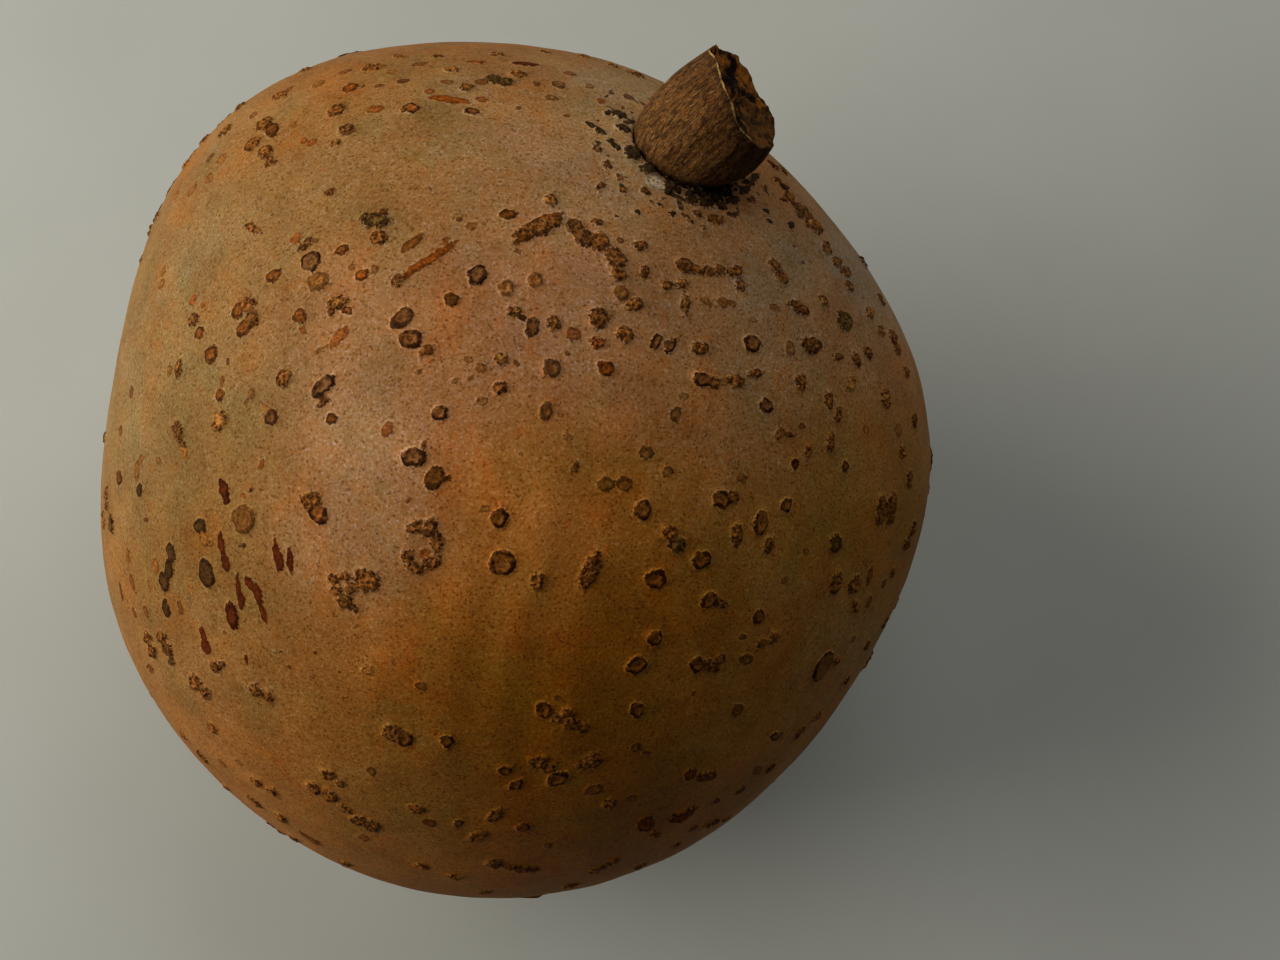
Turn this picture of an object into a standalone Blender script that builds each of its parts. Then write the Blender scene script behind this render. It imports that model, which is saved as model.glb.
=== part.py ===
"""A mammee apple: one round leathery fruit with raised scabs, and the stub of its stalk.

The fruit rests on a small flat spot at the origin, with +Z up. Its stalk leans up towards +X and +Y.
Lengths are in metres and angles in degrees, unless a name says otherwise.
"""

import math
import random

import bmesh
import bpy
import numpy as np
from mathutils import Vector
from mathutils.geometry import delaunay_2d_cdt

# Driving dimensions
FRUIT_WIDTH = 0.124
FRUIT_RADIUS = FRUIT_WIDTH / 2
REST_ANGLE = 11.0
REST_FADE_ANGLE = 24.0
REST_POINTS = 28
STALK_LENGTH = 0.0113
STALK_FOOT_RADIUS = 0.00655
STALK_TIP_RADIUS = 0.00715
STALK_DIRECTION = (0.642, 0.344, 0.685)
CUT_DIRECTION = (0.825, 0.288, 0.480)
SOCKET_DEPTH = 0.0020
SOCKET_RIM_RADIUS = 0.00745
SOCKET_FLOOR_RADIUS = 0.00705
SOCKET_POINTS = 32
FIT_GAP = 0.0003
APEX_HEIGHT = 0.0014
APEX_REACH = 0.0045

# Low swells that make the fruit less than round: how many, how high against the radius, where a crest lies
SWELLS = (
    (2, 0.0200, -81),
    (3, 0.0242, 3),
    (4, 0.0090, 24),
    (5, 0.0088, -9),
    (6, 0.0059, 9),
)

# The eye that the scabs' places were read with, looking down on the fruit, in the picture's pixels
PICTURE_MIDDLE_PX = (640.0, 480.0)
FOCAL_LENGTH_PX = 1778.0
LOOKING_DOWN = 75.0
FRUIT_MIDDLE_PX = (509.7, 467.1)
FRUIT_RADIUS_PX = 419.5
STALK_FOOT_PX = (682.5, 153.0)

# Relief of each kind of scab: height at the middle, height at the crest, where the crest lies
RING = (0.00015, 0.00050, 0.68)
CRUMB = (0.00060, 0.00055, 0.58)
STREAK = (0.00042, 0.00034, 0.55)
SCAB_FOOT = 1.12
CREST_POINTS = 6
FOOT_POINTS = 7
SMALL_SCAB_POINTS = 5
LARGE_SCAB_LENGTH = 0.0021
LONGEST_STRETCH = 2.6
NEIGHBOUR_COSINE = math.cos(math.radians(7))
UNEVEN_SHARES = (0.8, 1.2)

# Scabs on the side seen from the eye: across, down, length, width (px), heading (degrees), kind
SEEN_SCABS = (
    (426, 261, 72, 9, 34, STREAK), (412, 243, 27, 9, 40, STREAK), (477, 275, 20, 20, 0, RING),
    (506, 288, 17, 17, 0, RING), (535, 280, 16, 16, 0, RING), (451, 300, 15, 15, 0, CRUMB),
    (509, 214, 17, 10, 0, STREAK), (539, 227, 54, 20, 25, CRUMB), (551, 200, 14, 14, 0, CRUMB),
    (575, 227, 18, 18, 0, CRUMB), (587, 240, 20, 20, 0, CRUMB), (602, 243, 18, 18, 0, CRUMB),
    (615, 259, 21, 21, 0, CRUMB), (618, 276, 15, 15, 0, CRUMB), (621, 294, 15, 15, 0, RING),
    (634, 306, 17, 17, 0, CRUMB), (599, 318, 21, 21, 0, CRUMB), (625, 334, 16, 16, 0, CRUMB),
    (606, 368, 17, 17, 0, CRUMB), (573, 335, 14, 14, 0, CRUMB), (554, 324, 14, 14, 0, CRUMB),
    (532, 327, 20, 14, 70, CRUMB), (514, 312, 14, 14, 0, CRUMB), (552, 369, 18, 18, 0, RING),
    (401, 320, 25, 16, 40, RING), (410, 339, 23, 20, 0, RING), (426, 351, 14, 14, 0, CRUMB),
    (500, 388, 14, 14, 0, CRUMB), (440, 414, 15, 15, 0, RING), (546, 412, 18, 15, 0, RING),
    (414, 457, 23, 20, 0, RING), (434, 478, 25, 18, 50, CRUMB), (415, 525, 20, 14, 20, CRUMB),
    (432, 532, 18, 16, 60, CRUMB), (435, 548, 18, 14, 80, CRUMB), (418, 566, 22, 13, 0, CRUMB),
    (367, 580, 27, 23, 0, CRUMB), (335, 580, 13, 12, 0, CRUMB), (350, 577, 14, 13, 0, CRUMB),
    (345, 592, 16, 15, 0, CRUMB), (350, 607, 18, 13, 0, CRUMB), (502, 563, 27, 25, 0, RING),
    (499, 518, 20, 20, 0, RING), (537, 581, 18, 15, 0, CRUMB), (590, 571, 42, 16, 62, CRUMB),
    (606, 485, 18, 16, 0, CRUMB), (623, 484, 14, 14, 0, CRUMB), (643, 510, 21, 16, 80, RING),
    (721, 499, 20, 20, 0, RING), (761, 524, 23, 15, 75, RING), (769, 545, 18, 11, 75, CRUMB),
    (786, 505, 16, 10, 85, RING), (737, 536, 23, 11, 85, CRUMB), (677, 544, 18, 16, 0, CRUMB),
    (701, 560, 20, 18, 0, RING), (655, 579, 21, 19, 0, RING), (711, 600, 23, 16, -20, RING),
    (758, 617, 14, 12, 50, CRUMB), (655, 638, 15, 14, 0, RING), (636, 666, 20, 19, 0, RING),
    (697, 665, 16, 15, 0, RING), (712, 666, 16, 15, 0, CRUMB), (823, 666, 32, 14, 60, RING),
    (637, 710, 16, 15, 0, RING), (836, 544, 16, 14, 0, CRUMB), (836, 583, 23, 12, 75, CRUMB),
    (856, 583, 20, 14, 60, CRUMB), (870, 576, 20, 6, 80, STREAK), (884, 508, 36, 21, 85, RING),
    (909, 479, 18, 6, 85, STREAK), (909, 536, 32, 10, 65, CRUMB), (685, 266, 20, 18, 0, RING),
    (711, 271, 36, 13, 0, CRUMB), (739, 279, 26, 12, 85, CRUMB), (685, 303, 20, 11, 90, CRUMB),
    (777, 271, 34, 10, -54, CRUMB), (799, 308, 23, 14, -25, CRUMB), (752, 343, 18, 18, 0, RING),
    (811, 345, 21, 18, 0, CRUMB), (844, 321, 20, 18, 0, RING), (656, 342, 16, 11, 0, RING),
    (670, 346, 14, 10, 0, RING), (699, 348, 16, 15, 0, CRUMB), (703, 381, 21, 16, 0, RING),
    (735, 382, 16, 13, 0, CRUMB), (754, 373, 14, 9, 0, CRUMB), (766, 406, 14, 14, 0, RING),
    (801, 382, 16, 11, 0, CRUMB), (829, 400, 16, 10, 0, CRUMB), (885, 396, 18, 10, 65, CRUMB),
    (892, 341, 21, 9, -80, CRUMB), (845, 276, 23, 9, -70, CRUMB), (831, 255, 21, 18, -50, CRUMB),
    (811, 223, 27, 20, -50, CRUMB), (794, 205, 27, 14, -45, CRUMB), (244, 310, 24, 18, 0, CRUMB),
    (247, 328, 22, 14, 40, CRUMB), (195, 322, 16, 12, 60, CRUMB), (211, 355, 20, 13, 60, CRUMB),
    (274, 276, 19, 11, 30, CRUMB), (305, 245, 16, 9, 35, CRUMB), (311, 263, 20, 20, 0, RING),
    (317, 282, 19, 19, 0, RING), (361, 274, 16, 10, 20, CRUMB), (339, 307, 22, 17, 0, CRUMB),
    (300, 318, 15, 13, 0, CRUMB), (339, 337, 24, 11, 40, STREAK), (284, 378, 18, 17, 0, CRUMB),
    (324, 386, 28, 16, 45, RING), (272, 415, 16, 15, 0, CRUMB), (220, 421, 19, 15, 50, CRUMB),
    (177, 431, 25, 14, 75, CRUMB), (179, 369, 20, 8, 80, STREAK), (253, 228, 18, 12, 0, CRUMB),
    (375, 221, 28, 18, 20, CRUMB), (385, 235, 15, 14, 0, CRUMB), (267, 126, 22, 18, 0, CRUMB),
    (253, 145, 20, 9, 30, CRUMB), (267, 155, 17, 15, 0, CRUMB), (336, 111, 18, 11, 30, CRUMB),
    (347, 133, 16, 12, 45, CRUMB), (280, 96, 16, 8, 25, CRUMB), (226, 131, 16, 9, 50, CRUMB),
    (350, 88, 16, 9, 0, CRUMB), (375, 109, 19, 8, 0, STREAK), (411, 109, 18, 8, 5, RING),
    (449, 100, 45, 7, -3, STREAK), (472, 112, 15, 8, 0, RING), (500, 81, 28, 11, 0, CRUMB),
    (526, 64, 28, 6, 0, STREAK), (373, 68, 22, 7, 10, STREAK), (633, 154, 16, 14, 0, CRUMB),
    (316, 507, 34, 28, -50, RING), (244, 521, 32, 25, 85, RING), (224, 490, 21, 11, -70, CRUMB),
    (201, 529, 20, 14, -70, CRUMB), (224, 551, 45, 9, -80, STREAK), (279, 556, 34, 9, -80, STREAK),
    (290, 561, 25, 8, -80, STREAK), (207, 573, 29, 17, -75, CRUMB), (170, 556, 20, 11, 0, CRUMB),
    (167, 581, 30, 14, 75, CRUMB), (241, 591, 36, 9, -82, STREAK), (260, 599, 43, 9, -80, STREAK),
    (232, 615, 28, 12, -80, CRUMB), (204, 640, 27, 9, -75, STREAK), (151, 643, 23, 11, 0, CRUMB),
    (164, 645, 23, 12, 0, CRUMB), (197, 684, 20, 18, 0, RING), (262, 694, 23, 11, -25, CRUMB),
    (140, 490, 14, 7, 80, CRUMB), (107, 497, 21, 6, 85, STREAK), (112, 524, 20, 6, -80, STREAK),
    (397, 735, 28, 20, -25, RING), (328, 774, 14, 10, -25, CRUMB), (322, 791, 29, 11, -30, CRUMB),
    (367, 824, 28, 15, -25, CRUMB), (416, 808, 16, 9, 0, CRUMB), (255, 801, 18, 6, -35, STREAK),
    (310, 838, 25, 7, -35, STREAK), (544, 710, 18, 17, 0, RING), (568, 717, 23, 19, 0, CRUMB),
    (582, 726, 14, 12, 0, CRUMB), (538, 763, 18, 13, 0, CRUMB), (517, 784, 13, 10, 40, CRUMB),
    (558, 778, 20, 14, 30, RING), (594, 760, 21, 15, 0, CRUMB), (609, 804, 16, 9, 0, CRUMB),
    (495, 817, 18, 10, 40, CRUMB), (477, 837, 20, 9, 20, CRUMB), (494, 863, 18, 9, 0, CRUMB),
    (521, 868, 36, 6, -5, STREAK), (598, 869, 20, 9, 0, CRUMB), (646, 826, 20, 15, 0, CRUMB),
    (698, 776, 30, 12, 10, CRUMB), (683, 815, 28, 9, 25, CRUMB), (799, 732, 14, 7, 60, CRUMB),
)

# Scabs on the hidden side, drawn by a rule
HIDDEN_SEED = 873
HIDDEN_SCABS = 330
HIDDEN_BELOW = 0.19
HIDDEN_CLEARANCE_ANGLE = 3.2
HIDDEN_REST_ANGLE = 17.0
HIDDEN_STALK_ANGLE = 11.0
HIDDEN_LENGTHS = (0.0011, 0.0042)
HIDDEN_RELIEF_LENGTH = 0.0019
GROUP_SPREAD = 0.075
GROUP_SIZES = (1, 1, 1, 2, 3, 5)
HIDDEN_KINDS = (CRUMB, CRUMB, RING, RING, STREAK)

# Mesh
SKIN_POINTS = 1050
CLOSEST_POINTS = 0.00045
SKIN_POINT_MARGIN = 0.0012
MERGE_DISTANCE = 1e-9
STALK_SIDES = 40
STALK_RINGS = 11
STALK_END_RINGS = (0.90, 0.66, 0.40, 0.18)

# The stalk swells between its foot and its torn end, most on the upper left
BARREL = 0.0010
BARREL_LEAN = 0.0002
BARREL_SHIFT = 0.75
# The stalk's fluted side, against its radius, and its torn end: height, middle and spread of each rise
BROAD_FLUTES = 0.014
FINE_FLUTES = 0.010
EDGE_RISES = (
    (0.0014, 2.95, 0.80),
    (0.0008, 5.60, 0.75),
    (-0.00115, math.pi, 0.22),
)
EDGE_WAVES = (
    (0.00026, 3, 1.0),
    (0.00018, 8, 0.0),
)
TORN_DEPTH = 0.0003
TORN_HOLLOW = 0.0008
TORN_WAVE = 0.00022

SKIN_COLOUR = (0.30, 0.155, 0.062, 1.0)
BARK_COLOUR = (0.115, 0.055, 0.026, 1.0)


def unit(vectors):
    """The vectors at length 1."""
    return vectors / np.linalg.norm(vectors, axis=-1, keepdims=True)


# The eye's own directions, and the middle of the fruit
EYE_RIGHT = np.array((1.0, 0.0, 0.0))
EYE_UP = np.array((0.0, math.sin(math.radians(LOOKING_DOWN)), math.cos(math.radians(LOOKING_DOWN))))
EYE_FORWARD = np.cross(EYE_UP, EYE_RIGHT)
FRUIT_MIDDLE = np.array((0.0, 0.0, FRUIT_RADIUS * math.cos(math.radians(REST_ANGLE))))
DOWN = np.array((0.0, 0.0, -1.0))


def eye_ray(across, down):
    """The direction from the eye through a point of the picture."""
    right = (across - PICTURE_MIDDLE_PX[0]) / FOCAL_LENGTH_PX
    up = (PICTURE_MIDDLE_PX[1] - down) / FOCAL_LENGTH_PX
    return unit(EYE_FORWARD + right * EYE_RIGHT + up * EYE_UP)


EYE_DISTANCE = FRUIT_RADIUS / math.sin(math.atan(FRUIT_RADIUS_PX / FOCAL_LENGTH_PX))
FACE = -eye_ray(*FRUIT_MIDDLE_PX)
EYE = FRUIT_MIDDLE + EYE_DISTANCE * FACE
FACE_RIGHT = unit(EYE_RIGHT - (EYE_RIGHT @ FACE) * FACE)
FACE_UP = np.cross(FACE, FACE_RIGHT)
LIMB = math.sqrt(1 - (FRUIT_RADIUS / EYE_DISTANCE) ** 2)


def skin_radius(directions):
    """The smooth skin's distance from the middle of the fruit, along each direction."""
    sideways = directions @ FACE_RIGHT
    upward = directions @ FACE_UP
    turn = np.arctan2(upward, sideways)
    off_axis = np.hypot(upward, sideways) / LIMB
    swell = np.zeros(len(directions))
    for count, height, crest in SWELLS:
        swell += height * off_axis**count * np.cos(count * (turn - math.radians(crest)))
    from_rest = np.degrees(np.arccos(np.clip(directions @ DOWN, -1, 1)))
    fade = np.clip((from_rest - REST_ANGLE) / (REST_FADE_ANGLE - REST_ANGLE), 0, 1)
    fade = fade * fade * (3 - 2 * fade)
    from_apex = FRUIT_RADIUS * np.arccos(np.clip(directions @ APEX, -1, 1))
    apex = APEX_HEIGHT * np.exp(-((from_apex / APEX_REACH) ** 2))
    return FRUIT_RADIUS * (1 + fade * swell) + apex


def skin_direction(across, down):
    """The direction from the fruit's middle to the skin that a point of the picture shows."""
    ray = eye_ray(across, down)
    to_nearest = (FRUIT_MIDDLE - EYE) @ ray
    miss = np.linalg.norm(FRUIT_MIDDLE - EYE - to_nearest * ray)
    radius = FRUIT_RADIUS
    for _ in range(6):
        half_chord = math.sqrt(max(radius**2 - miss**2, 0.0))
        direction = unit(EYE + (to_nearest - half_chord) * ray - FRUIT_MIDDLE)
        radius = skin_radius(direction[None])[0]
    return direction


# The apex lies opposite the stalk, whose foot is found on the plain round first
APEX = np.array((0.0, 0.0, 0.0))
STALK_FOOT_DIRECTION = skin_direction(*STALK_FOOT_PX)
APEX = -STALK_FOOT_DIRECTION
STALK_FOOT_HEIGHT = skin_radius(STALK_FOOT_DIRECTION[None])[0]


def skin_points(directions, heights=0.0):
    """Points that stand on the skin by their heights."""
    return FRUIT_MIDDLE + directions * (skin_radius(directions) + heights)[:, None]


class Scab:
    """A raised scab: the direction of its middle, and its two half axes along the skin."""

    def __init__(self, direction, half_length, half_width, kind):
        self.direction = direction
        self.half_length = half_length
        self.half_width = half_width
        self.kind = kind
        self.length = 2 * np.linalg.norm(half_length)

    def at(self, reach, turn):
        """The direction at this share of the scab's own size, this far round it."""
        along = reach * (math.cos(turn) * self.half_length + math.sin(turn) * self.half_width)
        return unit(self.direction * FRUIT_RADIUS + along)

    def reach_of(self, directions):
        """How far out each direction is: 0 at the middle and 1 at the scab's edge."""
        away = (directions - self.direction) * FRUIT_RADIUS
        along = away @ self.half_length / (self.half_length @ self.half_length)
        across = away @ self.half_width / (self.half_width @ self.half_width)
        return np.hypot(along, across)


def seen_scab(across, down, length, width, heading, kind):
    """A scab from its place and size in the picture, without the foreshortening."""
    middle = skin_direction(across, down)
    depth = (FRUIT_MIDDLE + middle * FRUIT_RADIUS - EYE) @ EYE_FORWARD
    metres = depth / FOCAL_LENGTH_PX
    towards = unit(EYE - FRUIT_MIDDLE - middle * FRUIT_RADIUS)
    stretch = min(1 / max(middle @ towards, 0.01), LONGEST_STRETCH)
    uphill = unit(towards - (towards @ middle) * middle)
    level = np.cross(uphill, middle)
    halves = []
    for size, turn in ((length, heading), (width, heading + 90)):
        turn = math.radians(turn)
        flat = size / 2 * metres * (math.cos(turn) * EYE_RIGHT + math.sin(turn) * EYE_UP)
        flat_level = flat @ level
        flat_uphill = flat @ unit(uphill - (uphill @ towards) * towards)
        halves.append(flat_level * level + stretch * flat_uphill * uphill)
    long_half, short_half = sorted(halves, key=np.linalg.norm, reverse=True)
    upright = unit(np.cross(middle, long_half))
    return Scab(middle, long_half, (short_half @ upright) * upright, kind)


def hidden_scabs():
    """Scabs in loose groups over the skin that the eye can't see."""
    draw = random.Random(HIDDEN_SEED)
    nearest = math.cos(math.radians(HIDDEN_CLEARANCE_ANGLE))
    scabs = []
    while len(scabs) < HIDDEN_SCABS:
        group = unit(np.array([draw.gauss(0, 1) for _ in range(3)]))
        for _ in range(draw.choice(GROUP_SIZES)):
            middle = unit(group + np.array([draw.gauss(0, GROUP_SPREAD) for _ in range(3)]))
            shortest, longest = HIDDEN_LENGTHS
            length = shortest + (longest - shortest) * draw.random() ** 2
            width = length * draw.uniform(0.45, 0.95)
            turn = draw.uniform(0, math.pi)
            kind = draw.choice(HIDDEN_KINDS)
            from_rest = math.degrees(math.acos(middle @ DOWN))
            from_stalk = math.degrees(math.acos(middle @ STALK_FOOT_DIRECTION))
            if middle @ FACE > HIDDEN_BELOW:
                continue
            if from_rest < HIDDEN_REST_ANGLE or from_stalk < HIDDEN_STALK_ANGLE:
                continue
            if any(middle @ other.direction > nearest for other in scabs):
                continue
            level = unit(np.cross(middle, FACE))
            rise = np.cross(middle, level)
            half_length = length / 2 * (math.cos(turn) * level + math.sin(turn) * rise)
            half_width = width / 2 * (math.cos(turn) * rise - math.sin(turn) * level)
            scabs.append(Scab(middle, half_length, half_width, kind))
    return scabs


class PointSet:
    """Directions and heights for the skin's mesh, none of them too close together."""

    def __init__(self):
        self.directions = []
        self.heights = []
        self.cells = {}

    def cell(self, direction):
        return tuple(int(math.floor(value * FRUIT_RADIUS / CLOSEST_POINTS)) for value in direction)

    def is_clear(self, direction):
        x, y, z = self.cell(direction)
        for near in ((x + i, y + j, z + k) for i in (-1, 0, 1) for j in (-1, 0, 1) for k in (-1, 0, 1)):
            for other in self.cells.get(near, ()):
                if np.linalg.norm(direction - other) * FRUIT_RADIUS < CLOSEST_POINTS:
                    return False
        return True

    def add(self, direction, height=0.0):
        if self.is_clear(direction):
            self.directions.append(direction)
            self.heights.append(height)
            self.cells.setdefault(self.cell(direction), []).append(direction)


def ring_round(axis, angle, count):
    """Directions on a circle round an axis, at this angle from it in radians."""
    first = unit(np.cross(axis, FACE_RIGHT))
    second = np.cross(axis, first)
    turns = np.arange(count) * 2 * math.pi / count
    outward = np.cos(turns)[:, None] * first + np.sin(turns)[:, None] * second
    return math.cos(angle) * axis + math.sin(angle) * outward


def spread_directions(count):
    """Directions spread evenly over the whole round, on a spiral."""
    steps = np.arange(count) + 0.5
    height = 1 - 2 * steps / count
    turn = steps * math.pi * (3 - math.sqrt(5))
    level = np.sqrt(1 - height**2)
    return np.stack([level * np.cos(turn), level * np.sin(turn), height], axis=1)


def scab_points(points, scabs):
    """The middle, crest and foot of every scab, leaving out what another scab covers."""
    draw = random.Random(HIDDEN_SEED)
    middles = np.array([scab.direction for scab in scabs])
    for index, scab in enumerate(scabs):
        middle_height, crest_height, crest_reach = scab.kind
        rows = [(0.0, 1, middle_height)]
        if scab.length >= LARGE_SCAB_LENGTH:
            rows.append((crest_reach, CREST_POINTS, crest_height))
            rows.append((SCAB_FOOT, FOOT_POINTS, 0.0))
        else:
            rows.append((SCAB_FOOT, SMALL_SCAB_POINTS, 0.0))
        near = np.flatnonzero(middles @ scab.direction > NEIGHBOUR_COSINE)
        near = near[near != index]
        for reach, count, height in rows:
            for step in range(count):
                direction = scab.at(reach, 2 * math.pi * (step + 0.5 * (reach == SCAB_FOOT)) / count)
                rough = height * draw.uniform(*UNEVEN_SHARES)
                covered = any(scabs[other].reach_of(direction) < SCAB_FOOT for other in near)
                if reach == 0.0 or not covered:
                    points.add(direction, rough)


def fruit_mesh():
    """The fruit's skin with its scabs, the stalk's socket and the flat spot, as one closed mesh."""
    scabs = [seen_scab(*row) for row in SEEN_SCABS]
    scabs += [scab for scab in hidden_scabs() if scab.length >= HIDDEN_RELIEF_LENGTH]
    scabs.sort(key=lambda scab: -scab.length)

    rest_rim = ring_round(DOWN, math.radians(REST_ANGLE), REST_POINTS)
    floor_distance = STALK_FOOT_HEIGHT - SOCKET_DEPTH
    rim_angle = math.asin(SOCKET_RIM_RADIUS / STALK_FOOT_HEIGHT)
    floor_angle = math.atan(SOCKET_FLOOR_RADIUS / floor_distance)
    socket_rim = ring_round(STALK_FOOT_DIRECTION, rim_angle, SOCKET_POINTS)
    socket_floor = ring_round(STALK_FOOT_DIRECTION, floor_angle, SOCKET_POINTS)
    fixed = np.concatenate([rest_rim, socket_rim, socket_floor, STALK_FOOT_DIRECTION[None]])

    points = PointSet()
    scab_points(points, scabs)
    rest_margin = math.cos(math.radians(REST_ANGLE) + SKIN_POINT_MARGIN / FRUIT_RADIUS)
    socket_margin = math.cos(rim_angle + SKIN_POINT_MARGIN / FRUIT_RADIUS)
    for direction in spread_directions(SKIN_POINTS):
        reaches = [
            scab.reach_of(direction) - SKIN_POINT_MARGIN / np.linalg.norm(scab.half_width)
            for scab in scabs
            if scab.direction @ direction > NEIGHBOUR_COSINE
        ]
        if min(reaches, default=SCAB_FOOT) >= SCAB_FOOT:
            points.add(direction)
    free = [
        (direction, height)
        for direction, height in zip(points.directions, points.heights)
        if direction @ DOWN < rest_margin and direction @ STALK_FOOT_DIRECTION < socket_margin
    ]
    directions = np.concatenate([fixed, np.array([direction for direction, _ in free])])
    heights = np.concatenate([np.zeros(len(fixed)), [height for _, height in free]])
    places = skin_points(directions, heights)

    # The socket's floor is flat, across the stalk's foot
    floor = slice(REST_POINTS + SOCKET_POINTS, len(fixed))
    reach_down = floor_distance / (directions[floor] @ STALK_FOOT_DIRECTION)
    places[floor] = FRUIT_MIDDLE + directions[floor] * reach_down[:, None]

    # Seen from the lowest point, the round opens out flat, so flat triangles fit it
    flat = directions[:, :2] / (1 + directions[:, 2:])
    rings = ((0, REST_POINTS), (REST_POINTS, SOCKET_POINTS), (REST_POINTS + SOCKET_POINTS, SOCKET_POINTS))
    edges = [(start + step, start + (step + 1) % count) for start, count in rings for step in range(count)]
    joined = delaunay_2d_cdt([Vector(point) for point in flat], edges, [], 0, MERGE_DISTANCE)
    origins = [source[0] for source in joined[3]]

    mesh = bmesh.new()
    corners = [mesh.verts.new(places[origin]) for origin in origins]
    for face in joined[2]:
        mesh.faces.new([corners[corner] for corner in face])
    rim = {origin: corner for origin, corner in zip(origins, corners) if origin < REST_POINTS}
    mesh.faces.new([rim[step] for step in range(REST_POINTS)])
    bmesh.ops.recalc_face_normals(mesh, faces=mesh.faces)
    return mesh


# The stalk's own directions: towards the eye, and across
STALK_AXIS = unit(np.array(STALK_DIRECTION))
STALK_TOWARDS = unit(FACE - (FACE @ STALK_AXIS) * STALK_AXIS)
STALK_ACROSS = np.cross(STALK_AXIS, STALK_TOWARDS)
STALK_FOOT = FRUIT_MIDDLE + STALK_FOOT_DIRECTION * STALK_FOOT_HEIGHT
CUT_NORMAL = unit(np.array(CUT_DIRECTION))


def stalk_radius(turn, share):
    """The fluted stalk's radius, this far round it and this share of the way up."""
    plain = STALK_FOOT_RADIUS + (STALK_TIP_RADIUS - STALK_FOOT_RADIUS) * math.sin(share * math.pi / 2)
    flutes = BROAD_FLUTES * math.cos(7 * turn + 0.6) + FINE_FLUTES * math.cos(11 * turn + 2 * share)
    swell = (BARREL - BARREL_LEAN * math.sin(turn)) * math.sin(math.pi * share**BARREL_SHIFT)
    return (plain + swell) * (1 + min(share * 5, 1.0) * flutes)


def rise_at(turn, height, middle, spread):
    """One smooth rise of the torn end's edge, or a notch where its height is negative."""
    return height * math.exp(-((math.remainder(turn - middle, 2 * math.pi) / spread) ** 2))


def ragged_edge(turn):
    """How far the torn end stands above the plain cut."""
    rises = sum(rise_at(turn, *rise) for rise in EDGE_RISES)
    return rises + sum(height * math.cos(count * turn + start) for height, count, start in EDGE_WAVES)


def torn_depth(turn, share):
    """How far the torn wood lies below the rim of the cut."""
    hollow = TORN_HOLLOW * max(0.0, math.cos(turn + 2.3)) * math.sin(math.pi * share)
    return TORN_DEPTH * (1 - share**4) + hollow + TORN_WAVE * math.cos(5 * turn + 9 * share)


def stalk_side_point(turn, share):
    """A point on the stalk's side, from the skin at share 0 to the cut at share 1."""
    outward = stalk_radius(turn, share) * (math.cos(turn) * STALK_TOWARDS + math.sin(turn) * STALK_ACROSS)
    at_skin = -(outward @ STALK_FOOT_DIRECTION) / (STALK_AXIS @ STALK_FOOT_DIRECTION)
    at_cut = STALK_LENGTH - (outward @ CUT_NORMAL) / (STALK_AXIS @ CUT_NORMAL) + ragged_edge(turn)
    return STALK_FOOT + outward + ((1 - share) * at_skin + share * at_cut) * STALK_AXIS


def stalk_mesh():
    """The stub of stalk: a foot that stands in the socket, a fluted side and a torn end."""
    turns = [2 * math.pi * step / STALK_SIDES for step in range(STALK_SIDES)]
    foot_drop = (SOCKET_DEPTH - FIT_GAP) * STALK_FOOT_DIRECTION
    rows = [[stalk_side_point(turn, 0) - foot_drop * share for turn in turns] for share in (1.0, 0.5)]
    shares = [ring / STALK_RINGS for ring in range(STALK_RINGS + 1)]
    rows += [[stalk_side_point(turn, share) for turn in turns] for share in shares]
    rim = rows[-1]
    middle = sum(rim) / STALK_SIDES
    for share in STALK_END_RINGS:
        rows.append([
            middle + (edge - middle) * share - torn_depth(turn, share) * STALK_AXIS
            for edge, turn in zip(rim, turns)
        ])

    mesh = bmesh.new()
    loops = [[mesh.verts.new(place) for place in row] for row in rows]
    for lower, upper in zip(loops, loops[1:]):
        for step in range(STALK_SIDES):
            after = (step + 1) % STALK_SIDES
            mesh.faces.new((lower[step], lower[after], upper[after], upper[step]))
    mesh.faces.new(reversed(loops[0]))
    end = mesh.faces.new(loops[-1])
    bmesh.ops.poke(mesh, faces=[end])
    bmesh.ops.triangulate(mesh, faces=[face for face in mesh.faces if len(face.verts) == 4])
    bmesh.ops.recalc_face_normals(mesh, faces=mesh.faces)
    return mesh


def finish(name, colour, roughness):
    """A plain material."""
    material = bpy.data.materials.new(name)
    material.use_nodes = True
    shader = material.node_tree.nodes["Principled BSDF"]
    shader.inputs["Base Color"].default_value = colour
    shader.inputs["Roughness"].default_value = roughness
    shader.inputs["Metallic"].default_value = 0.0
    return material


def add_piece(name, mesh, material):
    """A named object from a finished mesh."""
    data = bpy.data.meshes.new(name)
    mesh.to_mesh(data)
    mesh.free()
    data.materials.append(material)
    piece = bpy.data.objects.new(name, data)
    bpy.context.scene.collection.objects.link(piece)
    return piece


def main():
    for leftover in list(bpy.data.objects):
        bpy.data.objects.remove(leftover)
    add_piece("fruit", fruit_mesh(), finish("leathery skin", SKIN_COLOUR, 0.62))
    add_piece("stalk", stalk_mesh(), finish("dry bark", BARK_COLOUR, 0.85))


main()
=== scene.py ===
"""The looks of the mammee apple: its fine skin and scabs, the stub of its stalk, floor, light and camera.

Lengths are in metres and angles in degrees, unless a name says otherwise.
"""

import math
import random

import bmesh
import bpy
import numpy as np
from mathutils import Matrix, Vector, noise


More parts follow.
